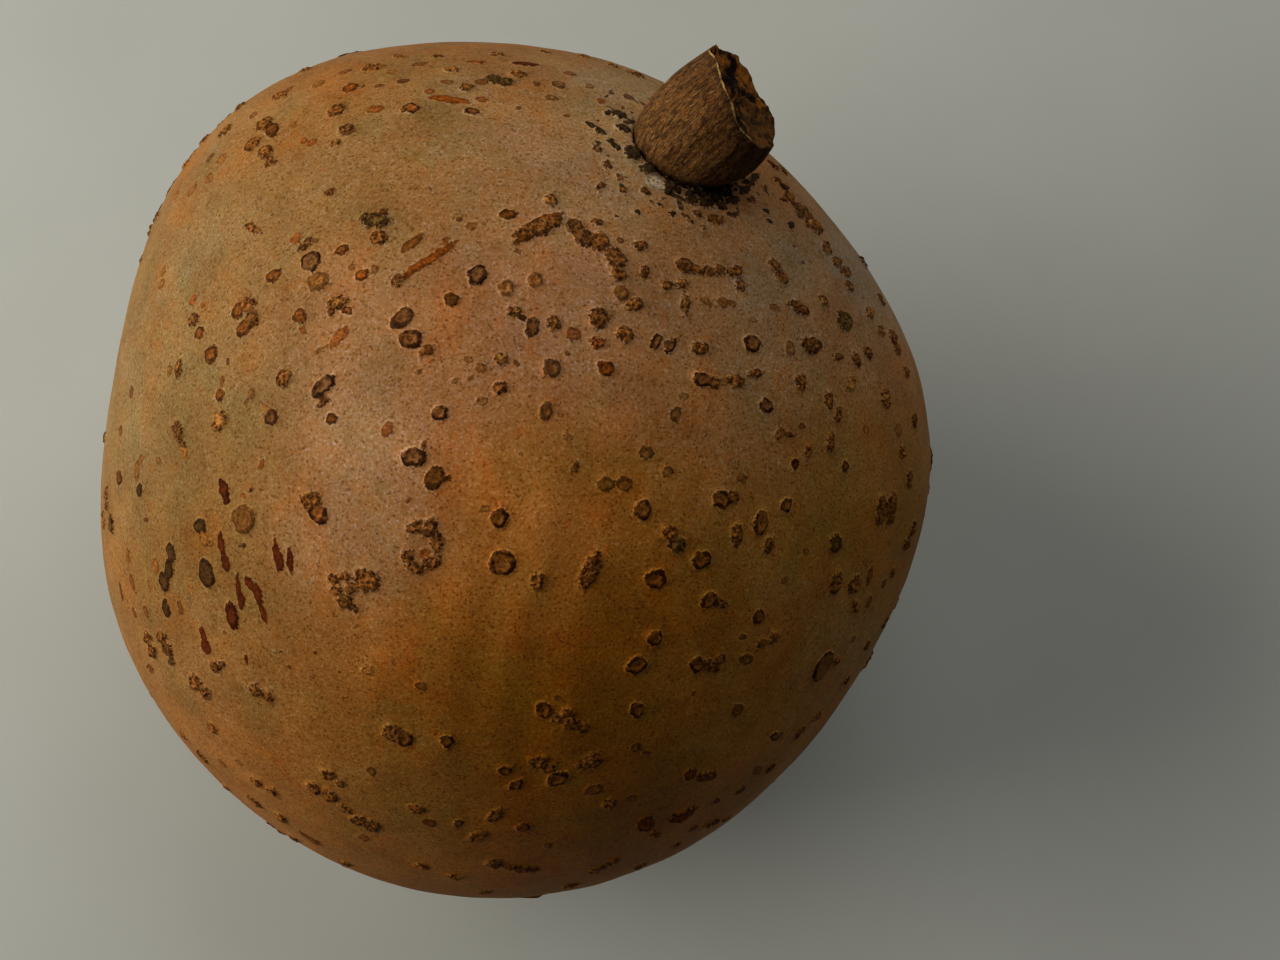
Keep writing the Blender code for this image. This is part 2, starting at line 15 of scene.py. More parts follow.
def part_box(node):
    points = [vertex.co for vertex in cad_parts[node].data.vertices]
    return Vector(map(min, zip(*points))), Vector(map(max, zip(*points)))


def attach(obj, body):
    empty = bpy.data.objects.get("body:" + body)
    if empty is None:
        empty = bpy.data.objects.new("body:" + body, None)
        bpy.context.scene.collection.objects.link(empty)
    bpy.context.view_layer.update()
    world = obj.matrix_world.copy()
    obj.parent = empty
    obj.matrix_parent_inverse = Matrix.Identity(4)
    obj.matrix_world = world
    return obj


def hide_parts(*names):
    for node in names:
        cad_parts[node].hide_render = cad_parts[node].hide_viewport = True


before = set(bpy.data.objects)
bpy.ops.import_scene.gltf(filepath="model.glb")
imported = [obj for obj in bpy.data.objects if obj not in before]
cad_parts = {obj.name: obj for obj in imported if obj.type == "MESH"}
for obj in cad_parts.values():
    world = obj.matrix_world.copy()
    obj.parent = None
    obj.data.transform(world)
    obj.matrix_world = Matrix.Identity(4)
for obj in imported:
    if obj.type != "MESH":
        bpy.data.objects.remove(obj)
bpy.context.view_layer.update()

MM = 0.001

# The fruit's own sizes, as its solids have them
FRUIT_RADIUS = 0.062
REST_ANGLE = 11.0
REST_FADE_ANGLE = 24.0
STALK_LENGTH = 0.0113
STALK_FOOT_RADIUS = 0.00655
STALK_TIP_RADIUS = 0.00715
STALK_DIRECTION = (0.642, 0.344, 0.685)
CUT_DIRECTION = (0.825, 0.288, 0.480)
SOCKET_DEPTH = 0.0020
FIT_GAP = 0.0003
APEX_HEIGHT = 0.0014
APEX_REACH = 0.0045
SWELLS = (
    (2, 0.0200, -81),
    (3, 0.0242, 3),
    (4, 0.0090, 24),
    (5, 0.0088, -9),
    (6, 0.0059, 9),
)

# The eye that looks down on the fruit, in the picture's pixels
PICTURE_MIDDLE_PX = (640.0, 480.0)
FOCAL_LENGTH_PX = 1778.0
LENS_MM = 50.0
SENSOR_MM = 36.0
LOOKING_DOWN = 75.0
FRUIT_MIDDLE_PX = (509.7, 467.1)
FRUIT_RADIUS_PX = 419.5
STALK_FOOT_PX = (682.5, 153.0)
SKIN_SEARCH_STEPS = 6


def unit(vectors):
    """The vectors at length 1."""
    return vectors / np.linalg.norm(vectors, axis=-1, keepdims=True)


def smooth(share):
    """An even ease from 0 to 1."""
    share = np.clip(share, 0, 1)
    return share * share * (3 - 2 * share)


EYE_RIGHT = np.array((1.0, 0.0, 0.0))
EYE_UP = np.array((0.0, math.sin(math.radians(LOOKING_DOWN)), math.cos(math.radians(LOOKING_DOWN))))
EYE_FORWARD = np.cross(EYE_UP, EYE_RIGHT)
FRUIT_MIDDLE = np.array((0.0, 0.0, FRUIT_RADIUS * math.cos(math.radians(REST_ANGLE))))
DOWN = np.array((0.0, 0.0, -1.0))


def eye_ray(across, down):
    """The direction from the eye through a point of the picture."""
    right = (across - PICTURE_MIDDLE_PX[0]) / FOCAL_LENGTH_PX
    up = (PICTURE_MIDDLE_PX[1] - down) / FOCAL_LENGTH_PX
    return unit(EYE_FORWARD + right * EYE_RIGHT + up * EYE_UP)


EYE_DISTANCE = FRUIT_RADIUS / math.sin(math.atan(FRUIT_RADIUS_PX / FOCAL_LENGTH_PX))
FACE = -eye_ray(*FRUIT_MIDDLE_PX)
EYE = FRUIT_MIDDLE + EYE_DISTANCE * FACE
FACE_RIGHT = unit(EYE_RIGHT - (EYE_RIGHT @ FACE) * FACE)
FACE_UP = np.cross(FACE, FACE_RIGHT)
LIMB = math.sqrt(1 - (FRUIT_RADIUS / EYE_DISTANCE) ** 2)


def skin_radius(directions):
    """The smooth skin's distance from the middle of the fruit, along each direction."""
    sideways = directions @ FACE_RIGHT
    upward = directions @ FACE_UP
    turn = np.arctan2(upward, sideways)
    off_axis = np.hypot(upward, sideways) / LIMB
    swell = np.zeros(len(directions))
    for count, height, crest in SWELLS:
        swell += height * off_axis**count * np.cos(count * (turn - math.radians(crest)))
    from_rest = np.degrees(np.arccos(np.clip(directions @ DOWN, -1, 1)))
    fade = smooth((from_rest - REST_ANGLE) / (REST_FADE_ANGLE - REST_ANGLE))
    from_apex = FRUIT_RADIUS * np.arccos(np.clip(directions @ APEX, -1, 1))
    apex = APEX_HEIGHT * np.exp(-((from_apex / APEX_REACH) ** 2))
    return FRUIT_RADIUS * (1 + fade * swell) + apex


def skin_direction(across, down):
    """The direction from the fruit's middle to the skin that a point of the picture shows."""
    ray = eye_ray(across, down)
    to_nearest = (FRUIT_MIDDLE - EYE) @ ray
    miss = np.linalg.norm(FRUIT_MIDDLE - EYE - to_nearest * ray)
    radius = FRUIT_RADIUS
    for _ in range(SKIN_SEARCH_STEPS):
        half_chord = math.sqrt(max(radius**2 - miss**2, 0.0))
        direction = unit(EYE + (to_nearest - half_chord) * ray - FRUIT_MIDDLE)
        radius = skin_radius(direction[None])[0]
    return direction


# The apex lies opposite the stalk's foot, which is found first on a skin without an apex
APEX = np.array((0.0, 0.0, 0.0))
STALK_FOOT_DIRECTION = skin_direction(*STALK_FOOT_PX)
APEX = -STALK_FOOT_DIRECTION
STALK_FOOT_HEIGHT = skin_radius(STALK_FOOT_DIRECTION[None])[0]

# Colours of the scabs' own cork
BROWN = (0.180, 0.053, 0.007)
DARK = (0.140, 0.043, 0.007)
MAUVE = (0.155, 0.053, 0.013)
TAN = (0.258, 0.090, 0.014)
ORANGE = (0.270, 0.063, 0.006)
RED = (0.098, 0.015, 0.0015)
OLIVE = (0.147, 0.048, 0.006)
GREEN = (0.075, 0.037, 0.006)
BLACK = (0.013, 0.008, 0.003)
SLATE = (0.060, 0.024, 0.004)
PALE = (0.340, 0.150, 0.038)
OCHRE = (0.268, 0.090, 0.012)
WHITISH = (0.570, 0.420, 0.240)

# Forms of the scabs: height of the middle and of the rim (mm), rim's darkness, crumbliness, solidity
RING = (0.10, 0.30, 1.0, 0.35, 0.75)
CRUMB = (0.36, 0.34, 0.65, 1.0, 0.90)
FLAKE = (0.14, 0.22, 0.80, 0.35, 1.0)
STREAK = (0.12, 0.15, 0.50, 0.25, 1.0)
MARK = (0.05, 0.07, 0.40, 0.35, 0.80)
SOFT_RING = (0.10, 0.30, 0.55, 0.35, 0.80)
FAINT = (0.06, 0.12, 0.65, 0.45, 0.60)

# Scabs on the side seen: across, down, length, width (px), heading (degrees), form, colour
UPPER_MIDDLE = (
    (426, 261, 72, 9, 34, STREAK, ORANGE), (398, 280, 16, 11, 50, CRUMB, BROWN),
    (412, 243, 27, 9, 40, STREAK, BROWN), (477, 275, 21, 19, 70, RING, MAUVE),
    (506, 288, 17, 16, 0, SOFT_RING, TAN), (535, 280, 16, 16, 0, SOFT_RING, OCHRE),
    (451, 300, 15, 15, 0, FLAKE, OLIVE), (509, 214, 17, 10, 0, FLAKE, BROWN),
    (472, 226, 13, 9, 20, MARK, TAN), (458, 215, 8, 6, 20, MARK, PALE), (539, 227, 54, 18, 25, CRUMB, BROWN),
    (528, 236, 34, 8, 25, STREAK, BROWN), (548, 218, 36, 8, 20, STREAK, ORANGE),
    (551, 200, 14, 12, 0, CRUMB, TAN), (575, 227, 18, 16, 0, CRUMB, DARK),
    (584, 238, 20, 18, 0, CRUMB, DARK), (600, 242, 18, 18, 0, CRUMB, BROWN),
    (615, 259, 21, 21, 0, CRUMB, DARK), (618, 275, 15, 14, 0, CRUMB, BROWN),
    (621, 294, 15, 14, 0, SOFT_RING, TAN), (634, 305, 17, 13, 30, CRUMB, BROWN),
    (599, 318, 21, 20, 0, CRUMB, BROWN), (625, 334, 16, 14, 0, CRUMB, BROWN),
    (597, 342, 16, 12, -20, CRUMB, ORANGE), (606, 368, 17, 16, 0, FLAKE, ORANGE),
    (573, 335, 15, 14, 0, MARK, ORANGE), (554, 324, 15, 15, 0, CRUMB, BROWN),
    (532, 327, 20, 13, 70, FLAKE, MAUVE), (514, 311, 13, 11, 0, CRUMB, TAN),
    (522, 317, 10, 8, -20, FLAKE, OLIVE), (501, 359, 15, 12, 0, CRUMB, TAN),
    (517, 364, 7, 6, 0, MARK, BROWN), (469, 360, 10, 8, 0, MARK, TAN), (480, 368, 12, 11, 0, MARK, OCHRE),
    (552, 369, 18, 16, 90, SOFT_RING, OLIVE), (567, 354, 6, 5, 0, MARK, BROWN),
    (402, 318, 27, 15, 42, FLAKE, MAUVE), (410, 339, 23, 20, 0, RING, BROWN),
    (426, 351, 16, 11, 30, CRUMB, BROWN), (429, 372, 5, 4, 0, MARK, BROWN), (455, 380, 9, 7, 0, MARK, TAN),
    (500, 387, 15, 13, -30, CRUMB, BROWN), (483, 401, 11, 9, 0, FAINT, TAN),
    (440, 414, 16, 15, 0, RING, BROWN), (546, 412, 18, 14, 80, SOFT_RING, OLIVE),
    (387, 430, 17, 12, 50, MARK, ORANGE), (446, 240, 10, 5, 35, MARK, ORANGE),
    (568, 437, 9, 8, 0, FAINT, TAN), (418, 372, 8, 5, 40, FAINT, TAN), (639, 246, 13, 10, 20, CRUMB, BROWN),
    (645, 272, 13, 9, 70, CRUMB, BROWN), (620, 241, 7, 6, 0, MARK, BROWN),
    (598, 222, 10, 7, 0, CRUMB, BROWN),
)
CENTRE = (
    (414, 457, 23, 19, 0, RING, BROWN), (425, 447, 7, 6, 0, CRUMB, BROWN),
    (434, 478, 27, 17, 55, FLAKE, OLIVE), (448, 479, 8, 6, 0, CRUMB, BROWN),
    (415, 527, 19, 13, 30, CRUMB, DARK), (430, 527, 20, 15, 60, CRUMB, DARK),
    (437, 543, 20, 13, 80, CRUMB, DARK), (432, 562, 20, 13, 30, CRUMB, DARK),
    (415, 567, 20, 13, -30, CRUMB, BROWN), (407, 556, 14, 10, 60, CRUMB, BROWN),
    (424, 553, 10, 8, 40, MARK, ORANGE), (367, 580, 26, 23, 0, CRUMB, BROWN),
    (335, 578, 11, 10, 0, CRUMB, BROWN), (345, 576, 10, 9, 0, CRUMB, BROWN),
    (337, 590, 12, 11, 0, CRUMB, DARK), (351, 588, 14, 12, 40, CRUMB, DARK),
    (345, 601, 16, 14, 0, CRUMB, OLIVE), (353, 607, 12, 9, 0, CRUMB, DARK),
    (502, 563, 27, 25, 0, RING, BROWN), (499, 518, 20, 18, 60, RING, BROWN),
    (486, 508, 11, 9, -30, MARK, TAN), (537, 581, 18, 14, 60, CRUMB, BROWN),
    (590, 571, 40, 16, 62, CRUMB, DARK), (595, 561, 20, 9, 62, FLAKE, RED),
    (576, 467, 12, 9, 60, FAINT, OLIVE), (606, 485, 20, 15, 0, FAINT, OLIVE),
    (624, 484, 15, 13, 0, FAINT, OLIVE), (646, 453, 14, 12, 0, FAINT, OLIVE),
    (667, 472, 11, 10, 0, FAINT, TAN), (446, 502, 6, 4, 0, MARK, BROWN), (408, 502, 5, 5, 0, MARK, DARK),
    (561, 462, 4, 4, 0, MARK, DARK),
)
RIGHT_CENTRE = (
    (643, 510, 22, 16, 80, RING, BROWN), (721, 499, 18, 18, 0, RING, BROWN),
    (731, 497, 16, 12, 0, CRUMB, DARK), (742, 477, 12, 9, 0, MARK, OCHRE),
    (761, 523, 25, 14, 78, RING, BROWN), (769, 545, 18, 10, 78, CRUMB, BROWN),
    (786, 505, 17, 10, 85, RING, BROWN), (737, 536, 24, 11, 85, CRUMB, OLIVE),
    (670, 532, 15, 12, 30, CRUMB, BROWN), (677, 545, 16, 15, 0, CRUMB, GREEN),
    (701, 560, 20, 18, 0, RING, BROWN), (655, 579, 22, 18, 0, RING, BROWN),
    (709, 600, 18, 15, 0, RING, DARK), (720, 604, 12, 9, 0, CRUMB, DARK),
    (758, 617, 15, 11, 50, FLAKE, BROWN), (655, 638, 15, 14, 0, RING, BROWN),
    (636, 665, 20, 18, 0, RING, BROWN), (697, 665, 16, 14, 20, RING, DARK),
    (711, 665, 14, 18, 60, CRUMB, DARK), (721, 658, 12, 8, 50, CRUMB, DARK),
    (746, 659, 13, 12, 0, FAINT, BROWN), (773, 637, 12, 9, 60, CRUMB, BROWN),
    (761, 643, 9, 8, 0, CRUMB, BROWN), (743, 637, 7, 6, 0, FAINT, BROWN), (823, 666, 34, 14, 65, RING, DARK),
    (637, 710, 15, 15, 0, RING, BROWN), (737, 710, 12, 11, 0, SOFT_RING, OLIVE),
    (795, 464, 12, 8, 85, FLAKE, RED), (807, 452, 13, 7, 80, CRUMB, BROWN),
    (845, 466, 11, 6, 85, FLAKE, DARK), (836, 543, 17, 13, 60, CRUMB, GREEN),
    (836, 583, 24, 10, 80, CRUMB, DARK), (855, 584, 20, 12, 70, CRUMB, BROWN),
    (856, 606, 11, 9, 40, CRUMB, BROWN), (870, 576, 22, 5, 82, STREAK, BROWN),
    (869, 602, 14, 5, 80, STREAK, BROWN), (880, 510, 30, 9, 88, CRUMB, OLIVE),
    (891, 508, 34, 9, 84, CRUMB, OLIVE), (909, 479, 19, 7, 85, CRUMB, DARK),
    (912, 529, 16, 7, 62, CRUMB, DARK), (906, 543, 16, 7, 68, CRUMB, DARK),
    (892, 573, 13, 5, 70, CRUMB, DARK), (884, 583, 10, 5, 70, STREAK, BROWN),
    (898, 604, 14, 6, 65, STREAK, BROWN), (785, 580, 9, 7, 40, MARK, OCHRE),
    (780, 735, 8, 6, 40, FAINT, BROWN), (806, 551, 8, 7, 50, MARK, OCHRE),
)
UPPER_RIGHT = (
    (685, 266, 19, 17, 0, CRUMB, DARK), (697, 270, 11, 10, 0, CRUMB, BROWN),
    (708, 271, 13, 11, 0, CRUMB, BROWN), (719, 270, 12, 11, 0, CRUMB, BROWN),
    (730, 272, 11, 9, 0, CRUMB, BROWN), (738, 271, 13, 10, 80, CRUMB, BROWN),
    (740, 285, 13, 10, 80, CRUMB, BROWN), (682, 284, 12, 10, 0, CRUMB, TAN),
    (667, 285, 12, 9, 0, CRUMB, BROWN), (685, 303, 20, 10, 90, CRUMB, TAN),
    (705, 301, 10, 9, 0, SOFT_RING, TAN), (722, 303, 13, 11, 0, SOFT_RING, TAN),
    (732, 303, 9, 8, 0, SOFT_RING, TAN), (774, 265, 16, 9, -50, CRUMB, DARK),
    (781, 277, 16, 9, -58, CRUMB, BROWN), (799, 308, 24, 12, -25, CRUMB, BROWN),
    (775, 308, 12, 9, 0, MARK, TAN), (753, 320, 9, 7, 0, MARK, PALE), (752, 343, 18, 16, 90, RING, BROWN),
    (790, 348, 13, 10, 80, SOFT_RING, TAN), (811, 345, 20, 17, 0, CRUMB, OLIVE),
    (844, 321, 21, 14, -60, CRUMB, GREEN), (838, 357, 10, 8, 0, CRUMB, BROWN),
    (656, 342, 17, 11, 60, RING, BROWN), (670, 346, 15, 11, 60, RING, BROWN),
    (699, 348, 17, 14, 0, CRUMB, BROWN), (702, 380, 18, 15, 0, RING, DARK),
    (713, 383, 14, 11, 0, CRUMB, DARK), (735, 382, 17, 12, 0, CRUMB, BROWN),
    (754, 373, 15, 9, 0, CRUMB, BROWN), (684, 396, 10, 8, 0, MARK, PALE),
    (676, 414, 14, 12, 50, FAINT, OLIVE), (766, 406, 15, 13, 0, RING, BROWN),
    (801, 382, 17, 10, 80, CRUMB, BROWN), (829, 400, 17, 9, 80, CRUMB, BROWN),
    (851, 384, 15, 8, 70, CRUMB, TAN), (885, 398, 20, 9, -80, CRUMB, TAN),
    (838, 414, 15, 7, 80, CRUMB, BROWN), (802, 426, 9, 7, 0, MARK, BROWN),
    (779, 434, 13, 9, 30, SOFT_RING, OCHRE), (790, 435, 8, 7, 0, CRUMB, DARK),
    (830, 442, 19, 8, 85, CRUMB, BROWN), (867, 353, 14, 7, -70, CRUMB, BROWN),
    (856, 360, 15, 8, -70, CRUMB, BROWN), (892, 337, 16, 8, -70, CRUMB, DARK),
    (897, 350, 12, 8, -75, CRUMB, DARK), (845, 272, 14, 9, -60, CRUMB, BROWN),
    (849, 286, 13, 8, -70, CRUMB, BROWN), (826, 248, 14, 10, -45, CRUMB, BROWN),
    (836, 262, 14, 10, -50, CRUMB, BROWN), (806, 215, 17, 11, -48, CRUMB, DARK),
    (816, 228, 16, 12, -50, CRUMB, BROWN), (789, 198, 15, 10, -42, CRUMB, DARK),
    (800, 209, 14, 10, -45, CRUMB, DARK), (809, 224, 12, 9, -50, CRUMB, TAN),
    (718, 221, 13, 8, 0, CRUMB, BROWN), (869, 312, 13, 8, -62, CRUMB, TAN),
    (880, 330, 12, 7, -66, CRUMB, TAN), (905, 372, 14, 6, -76, CRUMB, BROWN),
    (913, 420, 14, 6, -84, CRUMB, BROWN), (898, 430, 14, 7, 86, MARK, TAN),
    (880, 300, 14, 7, -62, CRUMB, BROWN), (862, 262, 14, 7, -56, CRUMB, DARK),
    (902, 452, 12, 6, 86, CRUMB, BROWN), (866, 430, 9, 6, 80, MARK, TAN), (822, 300, 11, 8, -30, CRUMB, TAN),
)
LEFT = (
    (238, 311, 20, 12, 60, FLAKE, BROWN), (247, 305, 20, 14, 10, CRUMB, BROWN),
    (252, 318, 18, 13, 60, CRUMB, DARK), (244, 328, 22, 14, 42, FLAKE, BROWN),
    (194, 320, 16, 10, 62, CRUMB, DARK), (200, 333, 14, 9, 62, FLAKE, BROWN),
    (193, 300, 13, 7, 50, MARK, ORANGE), (211, 355, 21, 13, 60, FLAKE, BROWN),
    (228, 361, 7, 5, 80, MARK, DARK), (274, 276, 19, 11, 30, FLAKE, BROWN),
    (305, 245, 17, 8, 38, CRUMB, DARK), (296, 238, 14, 8, 40, MARK, ORANGE), (316, 241, 5, 4, 0, MARK, DARK),
    (311, 262, 21, 18, 60, RING, MAUVE), (318, 281, 21, 18, 0, SOFT_RING, OCHRE),
    (342, 250, 14, 9, 30, FLAKE, BROWN), (361, 275, 14, 10, 30, FLAKE, ORANGE),
    (375, 269, 11, 8, 20, MARK, TAN), (338, 303, 22, 14, 10, CRUMB, TAN),
    (332, 311, 10, 8, 40, FLAKE, BROWN), (346, 311, 10, 8, -30, FLAKE, BROWN),
    (300, 317, 15, 13, 60, FLAKE, BROWN), (303, 330, 9, 7, 70, MARK, ORANGE),
    (339, 337, 27, 10, 42, MARK, ORANGE), (321, 349, 18, 4, 40, MARK, OCHRE),
    (284, 378, 19, 15, 40, CRUMB, BROWN), (324, 386, 29, 15, 45, RING, MAUVE),
    (323, 402, 17, 6, 35, CRUMB, DARK), (331, 419, 15, 12, 60, FLAKE, BROWN),
    (272, 417, 16, 14, 60, FLAKE, MAUVE), (266, 407, 9, 6, -40, MARK, TAN),
    (221, 421, 22, 14, 50, CRUMB, TAN), (215, 426, 8, 7, 0, CRUMB, BROWN),
    (178, 431, 24, 11, -80, CRUMB, DARK), (183, 446, 12, 8, -70, CRUMB, TAN),
    (220, 395, 13, 10, 40, FLAKE, BROWN), (222, 381, 11, 5, 82, MARK, BROWN),
    (252, 393, 13, 8, 60, MARK, TAN), (246, 402, 9, 5, 70, MARK, OCHRE), (179, 369, 20, 7, 80, CRUMB, BROWN),
    (170, 371, 14, 7, 80, MARK, OCHRE), (131, 392, 12, 6, 82, MARK, DARK), (121, 431, 10, 5, 84, MARK, DARK),
    (163, 271, 11, 6, 60, MARK, TAN), (162, 284, 11, 6, 60, MARK, TAN), (253, 229, 18, 9, -25, CRUMB, BROWN),
    (157, 218, 12, 6, 58, CRUMB, BROWN), (151, 231, 12, 5, 62, CRUMB, DARK),
    (143, 259, 10, 5, 66, CRUMB, DARK), (203, 305, 7, 5, 60, MARK, ORANGE), (389, 428, 9, 6, 60, MARK, RED),
    (375, 221, 30, 14, -8, CRUMB, GREEN), (372, 218, 16, 8, 10, FLAKE, SLATE),
    (379, 238, 19, 14, 10, CRUMB, BROWN), (383, 212, 10, 7, 0, CRUMB, BROWN),
    (331, 192, 10, 7, 30, CRUMB, BROWN), (352, 267, 8, 6, 30, MARK, TAN),
)
UPPER_LEFT = (
    (265, 124, 19, 12, 30, CRUMB, BROWN), (272, 130, 16, 12, 30, FLAKE, BROWN),
    (253, 145, 20, 8, 32, CRUMB, BROWN), (266, 153, 15, 11, 40, CRUMB, BROWN),
    (270, 163, 12, 8, 40, CRUMB, BROWN), (222, 159, 13, 8, 40, MARK, TAN), (211, 157, 12, 5, 50, MARK, DARK),
    (209, 178, 12, 8, 40, MARK, OCHRE), (192, 190, 14, 7, 50, MARK, TAN), (253, 115, 10, 6, 30, MARK, BROWN),
    (280, 96, 17, 7, 25, CRUMB, BROWN), (290, 88, 9, 5, 20, MARK, BROWN),
    (226, 131, 17, 8, 45, CRUMB, BROWN), (350, 88, 16, 8, 15, FLAKE, ORANGE),
    (336, 111, 19, 9, 30, CRUMB, BROWN), (347, 131, 17, 10, 40, CRUMB, DARK),
    (336, 143, 9, 6, 40, CRUMB, BROWN), (312, 142, 13, 6, 25, MARK, ORANGE),
    (303, 141, 8, 5, 20, MARK, ORANGE), (293, 124, 9, 7, 20, MARK, TAN), (375, 109, 20, 7, 6, MARK, ORANGE),
    (411, 109, 19, 8, 5, RING, ORANGE), (403, 81, 13, 5, 10, MARK, RED), (378, 86, 10, 4, 5, MARK, BROWN),
    (373, 68, 22, 6, 12, CRUMB, BROWN), (398, 57, 14, 4, 5, CRUMB, BROWN), (345, 72, 14, 5, 15, MARK, BROWN),
    (318, 84, 14, 6, 20, MARK, TAN), (305, 70, 12, 5, 22, CRUMB, BROWN), (240, 107, 12, 5, 38, CRUMB, DARK),
    (205, 140, 12, 5, 50, CRUMB, BROWN), (186, 165, 12, 5, 54, CRUMB, BROWN),
    (420, 64, 14, 5, 5, MARK, BROWN), (392, 72, 10, 5, 5, MARK, OCHRE), (176, 196, 12, 6, 56, MARK, OCHRE),
)
TOP = (
    (449, 100, 45, 6, -3, STREAK, ORANGE), (482, 99, 15, 5, 0, MARK, ORANGE),
    (472, 112, 15, 7, -5, RING, ORANGE), (518, 108, 6, 4, 0, MARK, BROWN), (494, 80, 17, 9, 0, CRUMB, GREEN),
    (505, 83, 16, 8, 0, CRUMB, GREEN), (482, 82, 13, 6, 0, MARK, BROWN), (467, 88, 15, 6, 0, CRUMB, BROWN),
    (447, 82, 13, 5, 0, MARK, BROWN), (452, 70, 16, 5, 2, CRUMB, BROWN), (559, 85, 15, 8, -5, FAINT, OLIVE),
    (551, 98, 14, 6, 0, FAINT, OLIVE), (526, 64, 28, 5, -3, STREAK, RED),
    (476, 62, 20, 4, 0, STREAK, ORANGE), (569, 73, 13, 5, -8, MARK, BROWN),
    (518, 75, 17, 5, -3, CRUMB, BROWN), (584, 57, 13, 4, -12, CRUMB, BROWN),
    (635, 75, 19, 5, -22, CRUMB, BROWN), (629, 97, 13, 5, -10, MARK, RED), (601, 101, 9, 6, 0, MARK, ORANGE),
    (497, 55, 14, 4, 0, CRUMB, BROWN), (545, 52, 14, 3, -4, CRUMB, DARK),
    (612, 66, 12, 4, -20, CRUMB, BROWN), (437, 57, 12, 4, 3, CRUMB, BROWN), (590, 86, 10, 5, -8, MARK, TAN),
    (536, 84, 8, 5, 0, MARK, BROWN), (430, 92, 9, 5, 0, MARK, ORANGE),
)
ROUND_STALK = (
    (655, 182, 20, 14, -25, MARK, WHITISH), (677, 197, 30, 4, -27, MARK, BLACK),
    (640, 146, 14, 4, -60, MARK, BLACK), (608, 113, 9, 5, 10, CRUMB, BLACK),
    (619, 115, 13, 8, 10, CRUMB, BLACK), (592, 126, 13, 5, -28, CRUMB, BLACK),
    (600, 131, 9, 5, -30, CRUMB, BLACK), (622, 129, 15, 8, 0, CRUMB, BLACK),
    (631, 122, 8, 5, 20, CRUMB, BLACK), (597, 149, 10, 6, -10, CRUMB, DARK),
    (612, 143, 12, 5, -50, CRUMB, BLACK), (617, 147, 7, 6, 0, CRUMB, BLACK),
    (633, 154, 17, 14, 0, CRUMB, BLACK), (649, 169, 15, 13, 0, CRUMB, BLACK),
    (669, 186, 15, 12, 0, CRUMB, BLACK), (607, 165, 9, 7, -60, CRUMB, DARK),
    (619, 177, 8, 6, -20, CRUMB, DARK), (645, 192, 10, 7, -30, CRUMB, DARK),
    (602, 187, 9, 7, 40, CRUMB, BROWN), (624, 190, 8, 6, 0, CRUMB, BROWN), (566, 116, 7, 4, 0, MARK, BROWN),
    (692, 200, 14, 9, -30, CRUMB, BLACK), (706, 203, 15, 10, 0, CRUMB, BLACK),
    (720, 206, 15, 9, 10, CRUMB, BLACK), (733, 200, 14, 10, 30, CRUMB, BLACK),
    (745, 190, 14, 9, 40, CRUMB, BLACK), (754, 178, 13, 8, 50, CRUMB, BLACK),
    (699, 214, 8, 7, 0, CRUMB, DARK), (713, 219, 12, 8, 10, CRUMB, DARK), (690, 221, 7, 6, 0, CRUMB, DARK),
    (736, 215, 8, 6, 40, CRUMB, DARK), (752, 200, 8, 6, 40, CRUMB, DARK), (765, 188, 8, 5, 50, CRUMB, DARK),
    (664, 172, 16, 4, -48, MARK, BLACK), (772, 166, 16, 6, -44, CRUMB, RED),
    (782, 171, 14, 6, -44, CRUMB, GREEN), (777, 180, 9, 7, 0, CRUMB, RED),
    (784, 188, 13, 7, -40, CRUMB, BLACK), (783, 200, 7, 5, 0, CRUMB, RED),
    (792, 203, 9, 6, -45, CRUMB, DARK), (799, 215, 11, 6, -50, CRUMB, GREEN),
    (766, 211, 6, 5, 0, CRUMB, BLACK), (769, 221, 6, 5, 0, CRUMB, BLACK),
    (790, 225, 8, 6, -30, CRUMB, BLACK), (673, 214, 6, 5, 0, CRUMB, BLACK), (704, 227, 6, 5, 0, CRUMB, DARK),
    (729, 214, 9, 5, 0, CRUMB, BLACK), (616, 216, 5, 4, 0, CRUMB, DARK), (637, 212, 8, 5, -30, CRUMB, BLACK),
    (659, 205, 7, 4, -30, CRUMB, BLACK), (748, 183, 12, 7, 0, CRUMB, BLACK),
)
